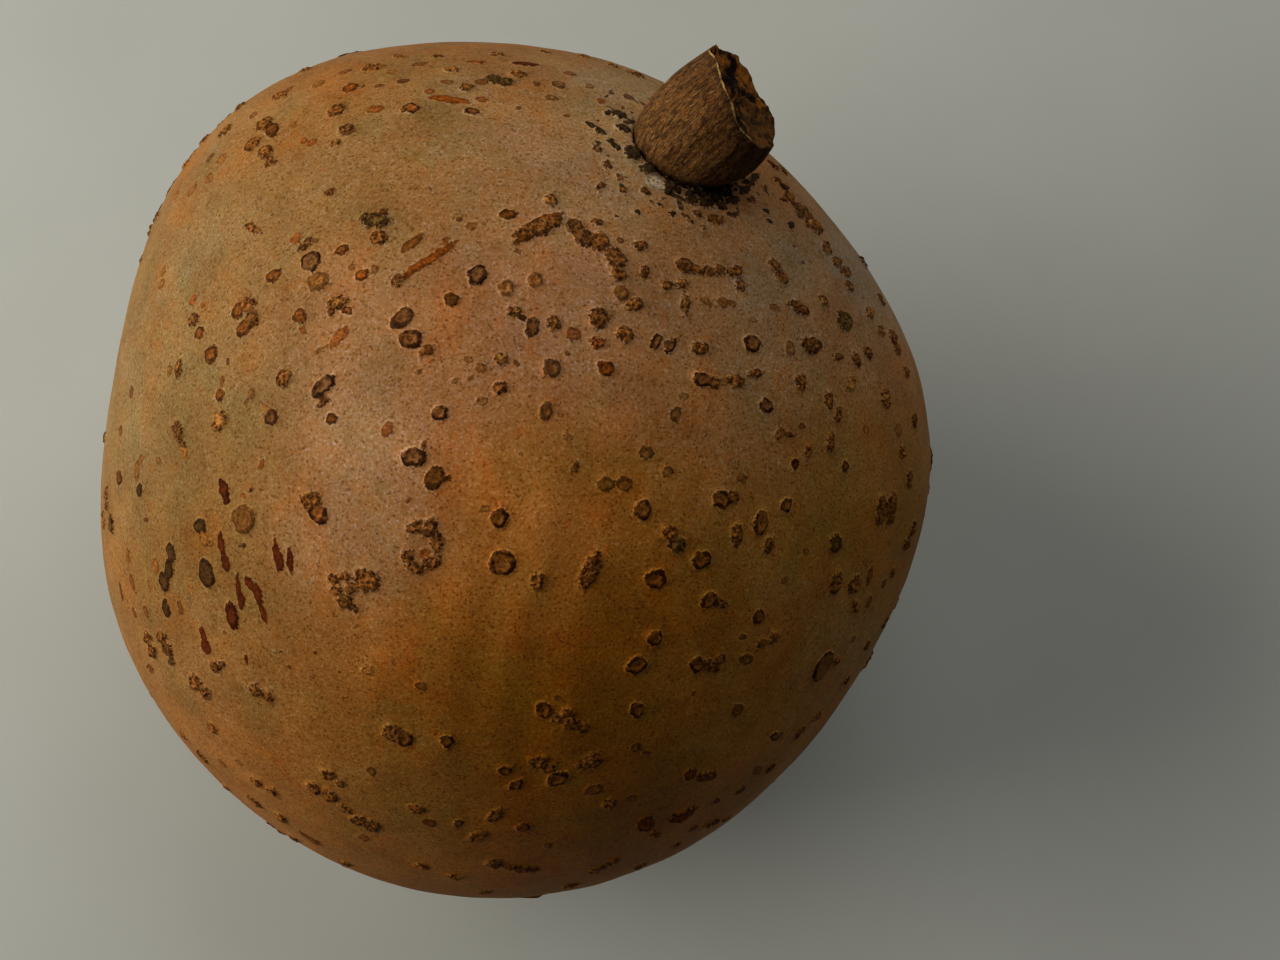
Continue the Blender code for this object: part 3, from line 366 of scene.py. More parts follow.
LOWER_LEFT = (
    (311, 501, 21, 19, 0, CRUMB, BROWN), (319, 514, 24, 17, -45, RING, ORANGE),
    (244, 519, 29, 24, 85, SOFT_RING, OLIVE), (224, 489, 22, 10, -72, FLAKE, RED),
    (227, 500, 10, 6, -70, FLAKE, RED), (200, 526, 18, 13, -75, FLAKE, GREEN),
    (204, 538, 16, 11, -60, MARK, OCHRE), (210, 543, 9, 7, 0, CRUMB, TAN),
    (222, 545, 30, 7, -82, STREAK, RED), (226, 562, 22, 9, -75, STREAK, RED),
    (276, 552, 34, 6, -85, STREAK, RED), (280, 561, 22, 8, -80, STREAK, RED),
    (290, 560, 27, 6, -82, STREAK, RED), (207, 573, 30, 16, -78, FLAKE, SLATE),
    (171, 553, 20, 10, -80, FLAKE, SLATE), (169, 569, 20, 10, 80, FLAKE, SLATE),
    (164, 582, 20, 10, -85, FLAKE, SLATE), (166, 608, 20, 8, -80, FLAKE, SLATE),
    (180, 608, 14, 5, -80, MARK, DARK), (238, 588, 28, 5, -85, STREAK, RED),
    (241, 600, 20, 8, -85, STREAK, RED), (250, 584, 20, 7, -60, STREAK, RED),
    (258, 594, 24, 9, -82, STREAK, RED), (263, 612, 22, 6, -72, STREAK, RED),
    (232, 615, 29, 12, -80, FLAKE, RED), (203, 636, 20, 7, -78, STREAK, RED),
    (206, 647, 16, 9, -75, STREAK, RED), (155, 566, 18, 8, -80, MARK, OCHRE),
    (149, 586, 14, 5, -80, MARK, OCHRE), (148, 637, 14, 8, -60, CRUMB, BROWN),
    (153, 650, 15, 9, -50, CRUMB, BROWN), (162, 638, 16, 8, -60, CRUMB, BROWN),
    (168, 649, 14, 8, -60, CRUMB, DARK), (171, 661, 9, 6, -50, CRUMB, SLATE),
    (151, 668, 10, 7, -50, CRUMB, BROWN), (216, 666, 12, 9, -60, CRUMB, BROWN),
    (222, 664, 8, 6, 0, CRUMB, DARK), (247, 660, 12, 4, -80, STREAK, RED),
    (195, 682, 17, 14, -40, CRUMB, BROWN), (206, 693, 14, 9, -60, CRUMB, BROWN),
    (256, 690, 14, 10, -20, CRUMB, OLIVE), (268, 696, 14, 9, -30, CRUMB, BROWN),
    (120, 478, 16, 7, 86, FLAKE, BROWN), (140, 490, 13, 7, 82, FLAKE, SLATE),
    (137, 470, 24, 7, 84, MARK, OCHRE), (141, 459, 10, 6, 60, MARK, OCHRE),
    (158, 461, 9, 6, 70, MARK, OCHRE), (184, 452, 16, 8, -75, MARK, OCHRE),
    (112, 524, 22, 6, -82, CRUMB, SLATE), (107, 497, 26, 5, 86, CRUMB, DARK),
    (106, 437, 14, 4, 82, CRUMB, DARK), (128, 556, 16, 5, -75, MARK, BROWN),
    (132, 582, 18, 5, -70, MARK, BROWN), (121, 591, 20, 4, -75, MARK, RED), (146, 520, 6, 5, 0, MARK, BROWN),
    (261, 464, 10, 6, 60, MARK, ORANGE), (251, 490, 6, 4, 80, MARK, BLACK), (244, 545, 5, 5, 0, MARK, BLACK),
    (238, 548, 4, 4, 0, MARK, BLACK), (104, 520, 20, 4, -84, CRUMB, BROWN),
    (134, 612, 12, 5, -70, MARK, BROWN), (146, 611, 14, 5, -70, MARK, BROWN),
    (312, 553, 5, 4, 0, MARK, BLACK),
)
BOTTOM_LEFT = (
    (393, 733, 20, 17, 0, CRUMB, DARK), (404, 738, 18, 15, 0, RING, BROWN),
    (447, 740, 14, 10, -10, RING, BROWN), (328, 774, 16, 8, -25, CRUMB, DARK),
    (340, 783, 9, 7, 0, CRUMB, BROWN), (314, 787, 15, 8, -25, CRUMB, DARK),
    (329, 795, 16, 9, -30, CRUMB, BROWN), (344, 808, 14, 6, -40, CRUMB, BROWN),
    (358, 820, 16, 10, -30, CRUMB, DARK), (372, 826, 16, 10, -25, CRUMB, DARK),
    (416, 808, 17, 8, 5, CRUMB, BROWN), (430, 823, 15, 8, 0, MARK, RED), (372, 772, 10, 8, 0, FAINT, BROWN),
    (213, 727, 15, 5, -55, CRUMB, BROWN), (203, 756, 19, 5, -48, CRUMB, DARK),
    (222, 763, 14, 5, -48, MARK, BROWN), (256, 781, 14, 6, -38, CRUMB, BROWN),
    (272, 790, 12, 6, -35, CRUMB, BROWN), (255, 801, 19, 5, -38, CRUMB, DARK),
    (281, 817, 15, 7, -35, CRUMB, BROWN), (310, 838, 27, 6, -33, STREAK, BROWN),
    (367, 670, 13, 10, 0, FAINT, TAN), (422, 686, 12, 10, 0, FAINT, OLIVE), (239, 762, 9, 5, -45, MARK, TAN),
    (294, 838, 12, 5, -35, CRUMB, DARK), (345, 862, 14, 5, -28, CRUMB, BROWN),
    (184, 735, 12, 4, -54, CRUMB, BROWN), (364, 838, 12, 7, -25, MARK, BROWN),
    (227, 787, 12, 5, -46, CRUMB, BROWN), (280, 833, 12, 4, -40, CRUMB, BROWN),
)
BOTTOM = (
    (544, 710, 18, 16, 0, RING, BROWN), (556, 716, 12, 10, 0, CRUMB, BROWN),
    (568, 714, 14, 13, 0, CRUMB, BROWN), (571, 723, 14, 12, 0, CRUMB, DARK),
    (582, 727, 14, 11, -20, CRUMB, DARK), (557, 698, 8, 6, 0, MARK, BROWN),
    (538, 762, 19, 12, 0, CRUMB, DARK), (548, 768, 12, 9, 0, CRUMB, BROWN),
    (505, 770, 13, 9, 0, RING, BROWN), (517, 784, 14, 10, 40, RING, BROWN),
    (558, 778, 21, 13, 30, RING, DARK), (594, 760, 20, 15, 0, CRUMB, DARK),
    (582, 765, 11, 8, 0, CRUMB, BROWN), (636, 747, 12, 8, 0, FAINT, BROWN),
    (646, 752, 9, 4, -20, FAINT, BROWN), (594, 790, 17, 11, 0, FAINT, BROWN),
    (609, 804, 17, 9, 20, CRUMB, DARK), (632, 798, 11, 6, 20, FAINT, BROWN),
    (459, 823, 10, 6, 0, RING, BROWN), (495, 815, 19, 9, 40, CRUMB, DARK),
    (477, 836, 20, 9, 22, CRUMB, BROWN), (523, 827, 15, 7, 10, RING, BROWN),
    (494, 863, 18, 8, -5, CRUMB, DARK), (521, 868, 36, 6, -8, CRUMB, DARK),
    (532, 899, 18, 6, 0, CRUMB, DARK), (598, 869, 20, 8, 15, CRUMB, BROWN),
    (614, 861, 14, 5, 30, CRUMB, DARK), (646, 824, 20, 14, 20, CRUMB, RED),
    (655, 834, 12, 7, 20, CRUMB, DARK), (675, 817, 13, 6, 25, CRUMB, RED),
    (454, 876, 14, 5, -8, CRUMB, BROWN), (422, 866, 12, 5, -14, CRUMB, BROWN),
    (570, 885, 16, 5, 6, CRUMB, BROWN), (486, 892, 14, 4, -2, CRUMB, DARK),
    (640, 866, 14, 5, 18, CRUMB, BROWN), (548, 846, 9, 5, 0, FAINT, BROWN),
)
BOTTOM_RIGHT = (
    (690, 774, 13, 11, 0, CRUMB, RED), (702, 776, 13, 10, 0, CRUMB, DARK),
    (712, 774, 11, 8, 10, CRUMB, DARK), (758, 770, 12, 9, 40, MARK, DARK),
    (774, 736, 10, 8, 50, RING, BROWN), (683, 815, 28, 8, 25, CRUMB, RED), (717, 801, 8, 6, 30, MARK, RED),
    (694, 828, 12, 6, 25, MARK, RED), (676, 845, 11, 4, 22, CRUMB, DARK),
    (836, 661, 10, 6, 55, CRUMB, BROWN), (799, 732, 15, 6, 55, CRUMB, DARK),
    (740, 790, 12, 6, 38, CRUMB, DARK), (770, 768, 13, 5, 48, CRUMB, DARK),
    (846, 680, 13, 5, 58, CRUMB, DARK), (817, 716, 13, 5, 55, CRUMB, BROWN),
    (712, 822, 14, 5, 32, CRUMB, BROWN), (866, 645, 14, 5, 62, CRUMB, DARK),
    (884, 622, 14, 5, 66, CRUMB, DARK), (726, 818, 10, 4, 34, CRUMB, DARK),
    (853, 640, 9, 5, 60, FAINT, BROWN),
)
FINE_DOTS = (
    (331, 468, 4, 4, 0, MARK, BLACK), (338, 671, 4, 4, 0, MARK, BLACK), (316, 653, 4, 4, 0, MARK, BLACK),
    (281, 651, 4, 4, 0, MARK, BLACK), (347, 548, 4, 4, 0, MARK, BLACK), (289, 667, 4, 4, 0, MARK, DARK),
    (225, 632, 4, 4, 0, MARK, DARK), (803, 263, 4, 4, 0, MARK, BLACK),
)
SEEN_SCABS = (
    UPPER_MIDDLE + CENTRE + RIGHT_CENTRE + UPPER_RIGHT + LEFT + UPPER_LEFT
    + TOP + ROUND_STALK + LOWER_LEFT + BOTTOM_LEFT + BOTTOM + BOTTOM_RIGHT + FINE_DOTS
)

# Scabs on the hidden side, drawn by the same rule as in the solids
HIDDEN_SEED = 873
HIDDEN_SCABS = 330
HIDDEN_BELOW = 0.19
HIDDEN_CLEARANCE_ANGLE = 3.2
HIDDEN_REST_ANGLE = 17.0
HIDDEN_STALK_ANGLE = 11.0
HIDDEN_LENGTHS = (0.0011, 0.0042)
HIDDEN_WIDTHS = (0.45, 0.95)
GROUP_SPREAD = 0.075
GROUP_SIZES = (1, 1, 1, 2, 3, 5)
HIDDEN_FORMS = (CRUMB, CRUMB, RING, RING, FLAKE)
HIDDEN_COLOURS = (BROWN, BROWN, DARK, TAN, ORANGE, OLIVE, MAUVE, RED)
SMALL_MARKS_SEED = 41
SMALL_MARKS = 420
SMALL_MARK_LENGTHS = (0.0004, 0.0011)
SMALL_MARK_WIDTH = 0.7
DOTS_SEED = 29
DOTS = 150
DOTS_NEAREST = 0.0078
DOTS_SPREAD = 0.0050
DOT_LENGTHS = (0.00030, 0.00085)
DOT_WIDTH = 0.75
DOT_COLOURS = (BLACK, BLACK, DARK)

# Seen at a slant, a scab is drawn out uphill by no more than this, and none counts as steeper
LONGEST_STRETCH = 2.6
STEEPEST_FACING = 0.01


class Scab:
    """A scab: the direction of its middle, its two half axes along the skin, form and colour."""

    def __init__(self, direction, half_length, half_width, form, colour, seen):
        self.direction = direction
        self.half_length = half_length
        self.half_width = half_width
        self.form = form
        self.colour = colour
        self.seen = seen
        self.breadth = np.linalg.norm(half_width)

    def reach_of(self, directions):
        """How far out each direction is: 0 at the middle and 1 at the scab's edge."""
        away = (directions - self.direction) * FRUIT_RADIUS
        along = away @ self.half_length / (self.half_length @ self.half_length)
        across = away @ self.half_width / (self.half_width @ self.half_width)
        return np.hypot(along, across)


def seen_scab(across, down, length, width, heading, form, colour):
    """A scab from its place and size in the picture, without the foreshortening."""
    middle = skin_direction(across, down)
    depth = (FRUIT_MIDDLE + middle * FRUIT_RADIUS - EYE) @ EYE_FORWARD
    metres = depth / FOCAL_LENGTH_PX
    towards = unit(EYE - FRUIT_MIDDLE - middle * FRUIT_RADIUS)
    stretch = min(1 / max(middle @ towards, STEEPEST_FACING), LONGEST_STRETCH)
    uphill = unit(towards - (towards @ middle) * middle)
    level = np.cross(uphill, middle)
    halves = []
    for size, turn in ((length, heading), (width, heading + 90)):
        turn = math.radians(turn)
        flat = size / 2 * metres * (math.cos(turn) * EYE_RIGHT + math.sin(turn) * EYE_UP)
        flat_level = flat @ level
        flat_uphill = flat @ unit(uphill - (uphill @ towards) * towards)
        halves.append(flat_level * level + stretch * flat_uphill * uphill)
    long_half, short_half = sorted(halves, key=np.linalg.norm, reverse=True)
    upright = unit(np.cross(middle, long_half))
    return Scab(middle, long_half, (short_half @ upright) * upright, form, colour, True)


def turned_scab(middle, length, width, turn, form, colour, seen=False):
    """A scab of this length and width, turned along the skin from the level line."""
    level = unit(np.cross(middle, FACE))
    rise = np.cross(middle, level)
    half_length = length / 2 * (math.cos(turn) * level + math.sin(turn) * rise)
    half_width = width / 2 * (math.cos(turn) * rise - math.sin(turn) * level)
    return Scab(middle, half_length, half_width, form, colour, seen)


def hidden_scabs():
    """Scabs in loose groups over the skin that the eye can't see."""
    draw = random.Random(HIDDEN_SEED)
    pick = random.Random(HIDDEN_SEED + 1)
    nearest = math.cos(math.radians(HIDDEN_CLEARANCE_ANGLE))
    scabs = []
    while len(scabs) < HIDDEN_SCABS:
        group = unit(np.array([draw.gauss(0, 1) for _ in range(3)]))
        for _ in range(draw.choice(GROUP_SIZES)):
            middle = unit(group + np.array([draw.gauss(0, GROUP_SPREAD) for _ in range(3)]))
            shortest, longest = HIDDEN_LENGTHS
            length = shortest + (longest - shortest) * draw.random() ** 2
            width = length * draw.uniform(*HIDDEN_WIDTHS)
            turn = draw.uniform(0, math.pi)
            form = draw.choice(HIDDEN_FORMS)
            from_rest = math.degrees(math.acos(middle @ DOWN))
            from_stalk = math.degrees(math.acos(middle @ STALK_FOOT_DIRECTION))
            if middle @ FACE > HIDDEN_BELOW or from_rest < HIDDEN_REST_ANGLE:
                continue
            if from_stalk < HIDDEN_STALK_ANGLE:
                continue
            if any(middle @ other.direction > nearest for other in scabs):
                continue
            scabs.append(turned_scab(middle, length, width, turn, form, pick.choice(HIDDEN_COLOURS)))
    return scabs


def small_marks():
    """Small flat marks between the scabs of the hidden side, to the same density as on the side seen."""
    draw = random.Random(SMALL_MARKS_SEED)
    marks = []
    while len(marks) < SMALL_MARKS:
        middle = unit(np.array([draw.gauss(0, 1) for _ in range(3)]))
        length = draw.uniform(*SMALL_MARK_LENGTHS)
        turn = draw.uniform(0, math.pi)
        colour = draw.choice(HIDDEN_COLOURS)
        if middle @ DOWN < math.cos(math.radians(HIDDEN_REST_ANGLE)):
            marks.append(turned_scab(middle, length, SMALL_MARK_WIDTH * length, turn, MARK, colour))
    return marks


# The skin's ground tones; the pale grey and pale straw ones are partly painted sheen
SKIN_TONE = (0.270, 0.102, 0.018, 1.0)
ROSE = (0.345, 0.152, 0.054, 1.0)
RUST = (0.420, 0.135, 0.017, 1.0)
SAND = (0.205, 0.117, 0.033, 1.0)
EARTH = (0.255, 0.083, 0.003, 1.0)
UMBER = (0.260, 0.112, 0.010, 1.0)
# Pale grey: partly the skin's tone, partly painted sheen
ASH_AND_SHEEN = (0.250, 0.170, 0.085, 1.0)
BLUSH = (0.400, 0.190, 0.075, 1.0)
FAWN = (0.335, 0.172, 0.060, 1.0)
LOAM = (0.175, 0.079, 0.011, 1.0)
# Pale straw: partly the skin's tone, partly painted sheen
STRAW_AND_SHEEN = (0.400, 0.262, 0.108, 1.0)
PEAT = (0.185, 0.060, 0.002, 1.0)
AMBER = (0.500, 0.170, 0.028, 1.0)

# Where each tone gathers on the side seen: across, down, reach (px), strength, tone. The pale grey and pale
# straw patches on the top and upper right are partly the skin's tone and partly painted sheen; the tones
# grow darker towards the bottom
SKIN_PATCHES = (
    (400, 350, 105, 0.9, ROSE),
    (590, 310, 115, 0.7, ROSE),
    (590, 395, 70, 0.45, BLUSH),
    (378, 475, 92, 0.85, BLUSH),
    (530, 190, 100, 0.35, BLUSH),
    (340, 180, 80, 0.45, SAND),
    (555, 515, 95, 0.85, RUST),
    (430, 640, 70, 0.7, RUST),
    (700, 520, 80, 0.6, RUST),
    (150, 400, 170, 0.9, SAND),
    (200, 230, 110, 0.7, SAND),
    (203, 560, 92, 0.75, LOAM),
    (570, 745, 205, 0.92, EARTH),
    (410, 775, 85, 0.65, LOAM),
    (650, 610, 90, 0.6, EARTH),
    (765, 370, 115, 0.75, FAWN),
    (850, 560, 130, 0.8, UMBER),
    (750, 680, 110, 0.7, UMBER),
    # Pale grey and straw on the upper right and top: partly painted sheen
    (850, 260, 85, 0.8, ASH_AND_SHEEN),
    (618, 92, 62, 0.55, STRAW_AND_SHEEN),
    (630, 185, 60, 0.5, STRAW_AND_SHEEN),
    (705, 212, 40, 0.6, FAWN),
    (430, 120, 90, 0.38, SAND),
    # More pale straw and grey on the top and upper right: partly painted sheen
    (490, 122, 60, 0.25, STRAW_AND_SHEEN),
    (790, 272, 55, 0.35, ASH_AND_SHEEN),
    (620, 410, 50, 0.25, RUST),
    (560, 685, 70, 0.55, PEAT),
    (480, 775, 100, 0.30, PEAT),
    (345, 435, 75, 0.25, BLUSH),
    (262, 500, 60, 0.35, LOAM),
    (340, 550, 75, 0.35, FAWN),
    (546, 510, 60, 0.50, AMBER),
    (625, 482, 42, 0.45, UMBER),
    (750, 715, 75, 0.30, RUST),
    (835, 625, 60, 0.30, FAWN),
    (200, 420, 48, 0.45, LOAM),
    (190, 645, 75, 0.35, SAND),
    (412, 338, 42, 0.40, SKIN_TONE),
)
TONE_WANDER_SIZE = 0.011
TONE_WANDER_PX = 34

# The drifting tones of the hidden side: tone, its largest share, seed
HIDDEN_TONES = (
    (SAND, 0.7, 31),
    (ROSE, 0.9, 17),
    (RUST, 0.5, 19),
    (LOAM, 0.7, 23),
)
HIDDEN_TONE_SIZE = 0.022


def picture_places(points):
    """Where points stand in the picture, across and down."""
    away = points - EYE
    depth = away @ EYE_FORWARD
    across = PICTURE_MIDDLE_PX[0] + FOCAL_LENGTH_PX * (away @ EYE_RIGHT) / depth
    down = PICTURE_MIDDLE_PX[1] - FOCAL_LENGTH_PX * (away @ EYE_UP) / depth
    return across, down


def lumps(points, size, seed):
    """Smooth random lumps of this size, -1 to 1, at each point."""
    shift = Vector((seed, 2 * seed, 3 * seed))
    return np.array([noise.noise(Vector(point) / size + shift) for point in points])


# One seed for every smooth push, so that the scabs' edges are always torn in the same way
DRIFT_SEED = 873


def drift(points, size, seed):
    """A smooth random push at each point, each way -1 to 1."""
    shift = Vector((seed, 2 * seed, 3 * seed))
    return np.array([noise.noise_vector(Vector(point) / size + shift) for point in points])


def layered(points, layers):
    """Layers of random lumps on top of each other: height, size and seed of each."""
    return sum(height * lumps(points, size, seed) for height, size, seed in layers)


def stalk_dots():
    """Tiny dark dots scattered round the stalk's foot, thinning out with distance."""
    draw = random.Random(DOTS_SEED)
    first = unit(FACE_RIGHT - (FACE_RIGHT @ STALK_FOOT_DIRECTION) * STALK_FOOT_DIRECTION)
    second = np.cross(STALK_FOOT_DIRECTION, first)
    dots = []
    while len(dots) < DOTS:
        turn = draw.uniform(0, 2 * math.pi)
        away = DOTS_NEAREST + abs(draw.gauss(0, DOTS_SPREAD))
        flat = away * (math.cos(turn) * first + math.sin(turn) * second)
        length = draw.uniform(*DOT_LENGTHS)
        middle = unit(STALK_FOOT_DIRECTION * FRUIT_RADIUS + flat)
        colour = draw.choice(DOT_COLOURS)
        lie = draw.uniform(0, math.pi)
        dots.append(turned_scab(middle, length, DOT_WIDTH * length, lie, MARK, colour))
    return dots


def near_scabs(directions, scabs, margin):
    """Which directions lie within this margin of a scab."""
    found = np.zeros(len(directions), dtype=bool)
    for scab in scabs:
        reach = np.linalg.norm(scab.half_length) + margin
        found |= directions @ scab.direction > math.cos(reach / FRUIT_RADIUS)
    return found


def split_where(mesh, chosen):
    """Halves every edge that has both its ends among the chosen vertices."""
    mesh.verts.ensure_lookup_table()
    edges = [edge for edge in mesh.edges if chosen[edge.verts[0].index] and chosen[edge.verts[1].index]]
    bmesh.ops.subdivide_edges(mesh, edges=edges, cuts=1, use_grid_fill=True)
    bmesh.ops.triangulate(mesh, faces=[face for face in mesh.faces if len(face.verts) > 3])
    mesh.verts.index_update()


def directions_of(mesh):
    """The direction of each vertex from the middle of a round."""
    return unit(np.array([vertex.co[:] for vertex in mesh.verts]))


def colour_attribute(data, name, rows):
    """Four numbers at each vertex, for the materials."""
    attribute = data.attributes.new(name, "FLOAT_COLOR", "POINT")
    attribute.data.foreach_set("color", rows.astype(np.float32).ravel())


def number_attribute(data, name, values):
    """One number at each vertex, for the materials."""
    attribute = data.attributes.new(name, "FLOAT", "POINT")
    attribute.data.foreach_set("value", values.astype(np.float32))


def new_piece(name, mesh, material, smooth_faces=True):
    """An object at the origin from a finished mesh."""
    data = bpy.data.meshes.new(name)
    mesh.to_mesh(data)
    mesh.free()
    data.materials.append(material)
    data.polygons.foreach_set("use_smooth", [smooth_faces] * len(data.polygons))
    piece = bpy.data.objects.new(name, data)
    bpy.context.scene.collection.objects.link(piece)
    return piece


# Fine relief of the skin
SKIN_SPLITS = 7
COARSE_MARGIN = 0.0010
FINE_MARGIN = 0.0004
SMALLEST_RELIEF = 0.00025
SCAB_FOOT = 1.14
SCAB_SLOPE = 0.34
SCAB_CREST = 0.74
FULL_HEIGHT_BREADTH = 0.0009
FARTHEST_EDGE = 0.003
SOCKET_WALL_RADIUS = 0.0070
STALK_FINE_RADIUS = 0.0135
EDGE_WANDER = 0.00028
EDGE_WANDER_SIZE = 0.0011
EDGE_TEAR = 0.00016
EDGE_TEAR_SIZE = 0.00050
CRUMB_ROUGHNESS = 0.9
CRUMB_ROUGH_SIZE = 0.00055
SHADES_SEED = 7
SHADES = (0.85, 1.18)

# Soft flutes down the middle
FLUTE_MIDDLE_PX = (505, 640)
FLUTE_REACH_PX = (120, 190)
FLUTE_SPACING_PX = 66
FLUTE_BEND_PX = 26
FLUTE_BEND_LENGTH_PX = 95
FLUTE_WANDER_PX = 9
FLUTE_WANDER_SIZE = 0.012
FLUTE_HEIGHT = 0.00012

# Faint slanting wrinkles across the upper left
WRINKLE_MIDDLE_PX = (340, 260)
WRINKLE_REACH_PX = (150, 130)
WRINKLE_SPACING_PX = 30
WRINKLE_SLANT = 0.35
WRINKLE_WANDER_PX = 8
WRINKLE_WANDER_SIZE = 0.008
WRINKLE_BREAK_SIZE = 0.010
WRINKLE_HEIGHT = 0.00006

# Uneven skin all over: height, size and seed of each layer of lumps
UNEVEN_LAYERS = (
    (0.00011, 0.009, 2),
    (0.000055, 0.0038, 3),
)


def soft_patch(across, down, middle, reach):
    """A patch of the picture: 1 at its middle, and less the farther out."""
    return np.exp(-(((across - middle[0]) / reach[0]) ** 2) - ((down - middle[1]) / reach[1]) ** 2)


def low_relief(points, facing):
    """Soft flutes down the middle, faint wrinkles across the upper left, and uneven skin elsewhere."""
    across, down = picture_places(points)
    seen = smooth(facing / 0.3)
    bend = FLUTE_BEND_PX * np.sin(down / FLUTE_BEND_LENGTH_PX)
    bend = bend + FLUTE_WANDER_PX * lumps(points, FLUTE_WANDER_SIZE, 5)
    flutes = np.cos(2 * math.pi * (across + bend) / FLUTE_SPACING_PX)
    flutes *= soft_patch(across, down, FLUTE_MIDDLE_PX, FLUTE_REACH_PX)
    slant = down + WRINKLE_SLANT * across + WRINKLE_WANDER_PX * lumps(points, WRINKLE_WANDER_SIZE, 9)
    wrinkles = np.cos(2 * math.pi * slant / WRINKLE_SPACING_PX) * lumps(points, WRINKLE_BREAK_SIZE, 11)
    wrinkles *= soft_patch(across, down, WRINKLE_MIDDLE_PX, WRINKLE_REACH_PX)
    return seen * (FLUTE_HEIGHT * flutes + WRINKLE_HEIGHT * wrinkles) + layered(points, UNEVEN_LAYERS)


def scab_relief(directions, points, scabs):
    """Height, distance to the nearest scab's edge, and that scab's form and colour, at each direction."""
    push = EDGE_WANDER * drift(points, EDGE_WANDER_SIZE, 4) + EDGE_TEAR * drift(points, EDGE_TEAR_SIZE, 6)
    moved = directions + push / FRUIT_RADIUS
    rough = lumps(points, CRUMB_ROUGH_SIZE, 8)
    height = np.zeros(len(directions))
    edge = np.full(len(directions), FARTHEST_EDGE)
    form = np.zeros((len(directions), 4))
    colour = np.ones((len(directions), 4))
    draw = random.Random(SHADES_SEED)
    for scab in scabs:
        shade = draw.uniform(*SHADES)
        reach = np.linalg.norm(scab.half_length) + FARTHEST_EDGE
        near = np.flatnonzero(directions @ scab.direction > math.cos(reach / FRUIT_RADIUS))
        out = scab.reach_of(moved[near])
        middle, crest, rim, crumbly, solid = scab.form
        to_edge = (out - 1) * scab.breadth
        closer = to_edge < edge[near]
        chosen = near[closer]
        edge[chosen] = to_edge[closer]
        form[chosen] = (rim, crumbly, solid, scab.breadth / MM)
        colour[chosen, :3] = np.array(scab.colour) * shade
        profile = middle + (crest - middle) * smooth(out / SCAB_CREST)
        profile *= smooth((SCAB_FOOT - out) / SCAB_SLOPE) * MM
        profile *= min(1.0, scab.breadth / FULL_HEIGHT_BREADTH)
        profile *= 1 + CRUMB_ROUGHNESS * crumbly * rough[near]
        height[near] = np.maximum(height[near], profile)
    return height, edge, form, colour


def skin_tones(points, facing):
    """The ground tone of the skin at each point: patches on the side seen, and drift elsewhere."""
    across, down = picture_places(points)
    wander = drift(points, TONE_WANDER_SIZE, 13) * TONE_WANDER_PX
    seen = smooth((facing + 0.1) / 0.4)
    tone = np.tile(np.array(SKIN_TONE), (len(points), 1))
    for place_across, place_down, reach, strength, hue in SKIN_PATCHES:
        away = np.hypot(across + wander[:, 0] - place_across, down + wander[:, 1] - place_down)
        share = (strength * seen * np.exp(-((away / reach) ** 2)))[:, None]
        tone = (1 - share) * tone + share * np.array(hue)
    elsewhere = 1 - seen
    for hue, most, seed in HIDDEN_TONES:
        gathered = smooth(0.3 + 1.6 * lumps(points, HIDDEN_TONE_SIZE, seed))
        share = (most * elsewhere * gathered)[:, None]
        tone = (1 - share) * tone + share * np.array(hue)
    return tone


def skin_piece(material):
    """The fruit's skin: fine where its scabs are, with the stalk's socket and the flat spot."""
    scabs = [seen_scab(*row) for row in SEEN_SCABS]
    scabs += hidden_scabs()
    raised = [scab for scab in scabs if scab.breadth >= SMALLEST_RELIEF]
    seen = [scab for scab in raised if scab.seen]
    scabs += small_marks() + stalk_dots()

    mesh = bmesh.new()
    bmesh.ops.create_icosphere(mesh, subdivisions=SKIN_SPLITS, radius=1.0)
    mesh.verts.index_update()
    near_stalk = math.cos(STALK_FINE_RADIUS / FRUIT_RADIUS)
    for chosen, margin in ((raised, COARSE_MARGIN), (seen, FINE_MARGIN)):
        directions = directions_of(mesh)
        by_stalk = directions @ STALK_FOOT_DIRECTION > near_stalk
        split_where(mesh, near_scabs(directions, chosen, margin) | by_stalk)
    directions = directions_of(mesh)

    facing = directions @ FACE
    from_rest = np.degrees(np.arccos(np.clip(directions @ DOWN, -1, 1)))
    free = smooth((from_rest - REST_ANGLE) / (REST_FADE_ANGLE - REST_ANGLE))
    radius = skin_radius(directions)
    points = FRUIT_MIDDLE + directions * radius[:, None]
    height, edge, form, colour = scab_relief(directions, points, scabs)
    radius += free * (height + low_relief(points, facing))

    floor_distance = STALK_FOOT_HEIGHT - SOCKET_DEPTH
    towards_stalk = np.clip(directions @ STALK_FOOT_DIRECTION, -1, 1)
    in_socket = radius * np.sqrt(1 - towards_stalk**2) < SOCKET_WALL_RADIUS
    in_socket &= towards_stalk > 0
    radius[in_socket] = floor_distance / towards_stalk[in_socket]

    places = FRUIT_MIDDLE + directions * radius[:, None]
    places = np.clip(places, *np.array(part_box("fruit")))
    for vertex, place in zip(mesh.verts, places):
        vertex.co = place
    tone = skin_tones(points, facing)
    piece = new_piece("fruit_skin", mesh, material)
    number_attribute(piece.data, "scab_edge", edge / MM)
    colour_attribute(piece.data, "scab_form", form)
    colour_attribute(piece.data, "scab_colour", colour)
    colour_attribute(piece.data, "skin_tone", tone)
    return piece


# The stalk's own directions: towards the eye, and across
STALK_AXIS = unit(np.array(STALK_DIRECTION))
STALK_TOWARDS = unit(FACE - (FACE @ STALK_AXIS) * STALK_AXIS)
STALK_ACROSS = np.cross(STALK_AXIS, STALK_TOWARDS)
STALK_FOOT = FRUIT_MIDDLE + STALK_FOOT_DIRECTION * STALK_FOOT_HEIGHT
CUT_NORMAL = unit(np.array(CUT_DIRECTION))
# The stalk swells between its foot and its torn end, most on the upper left
BARREL = 0.0010
BARREL_LEAN = 0.0002
BARREL_SHIFT = 0.75
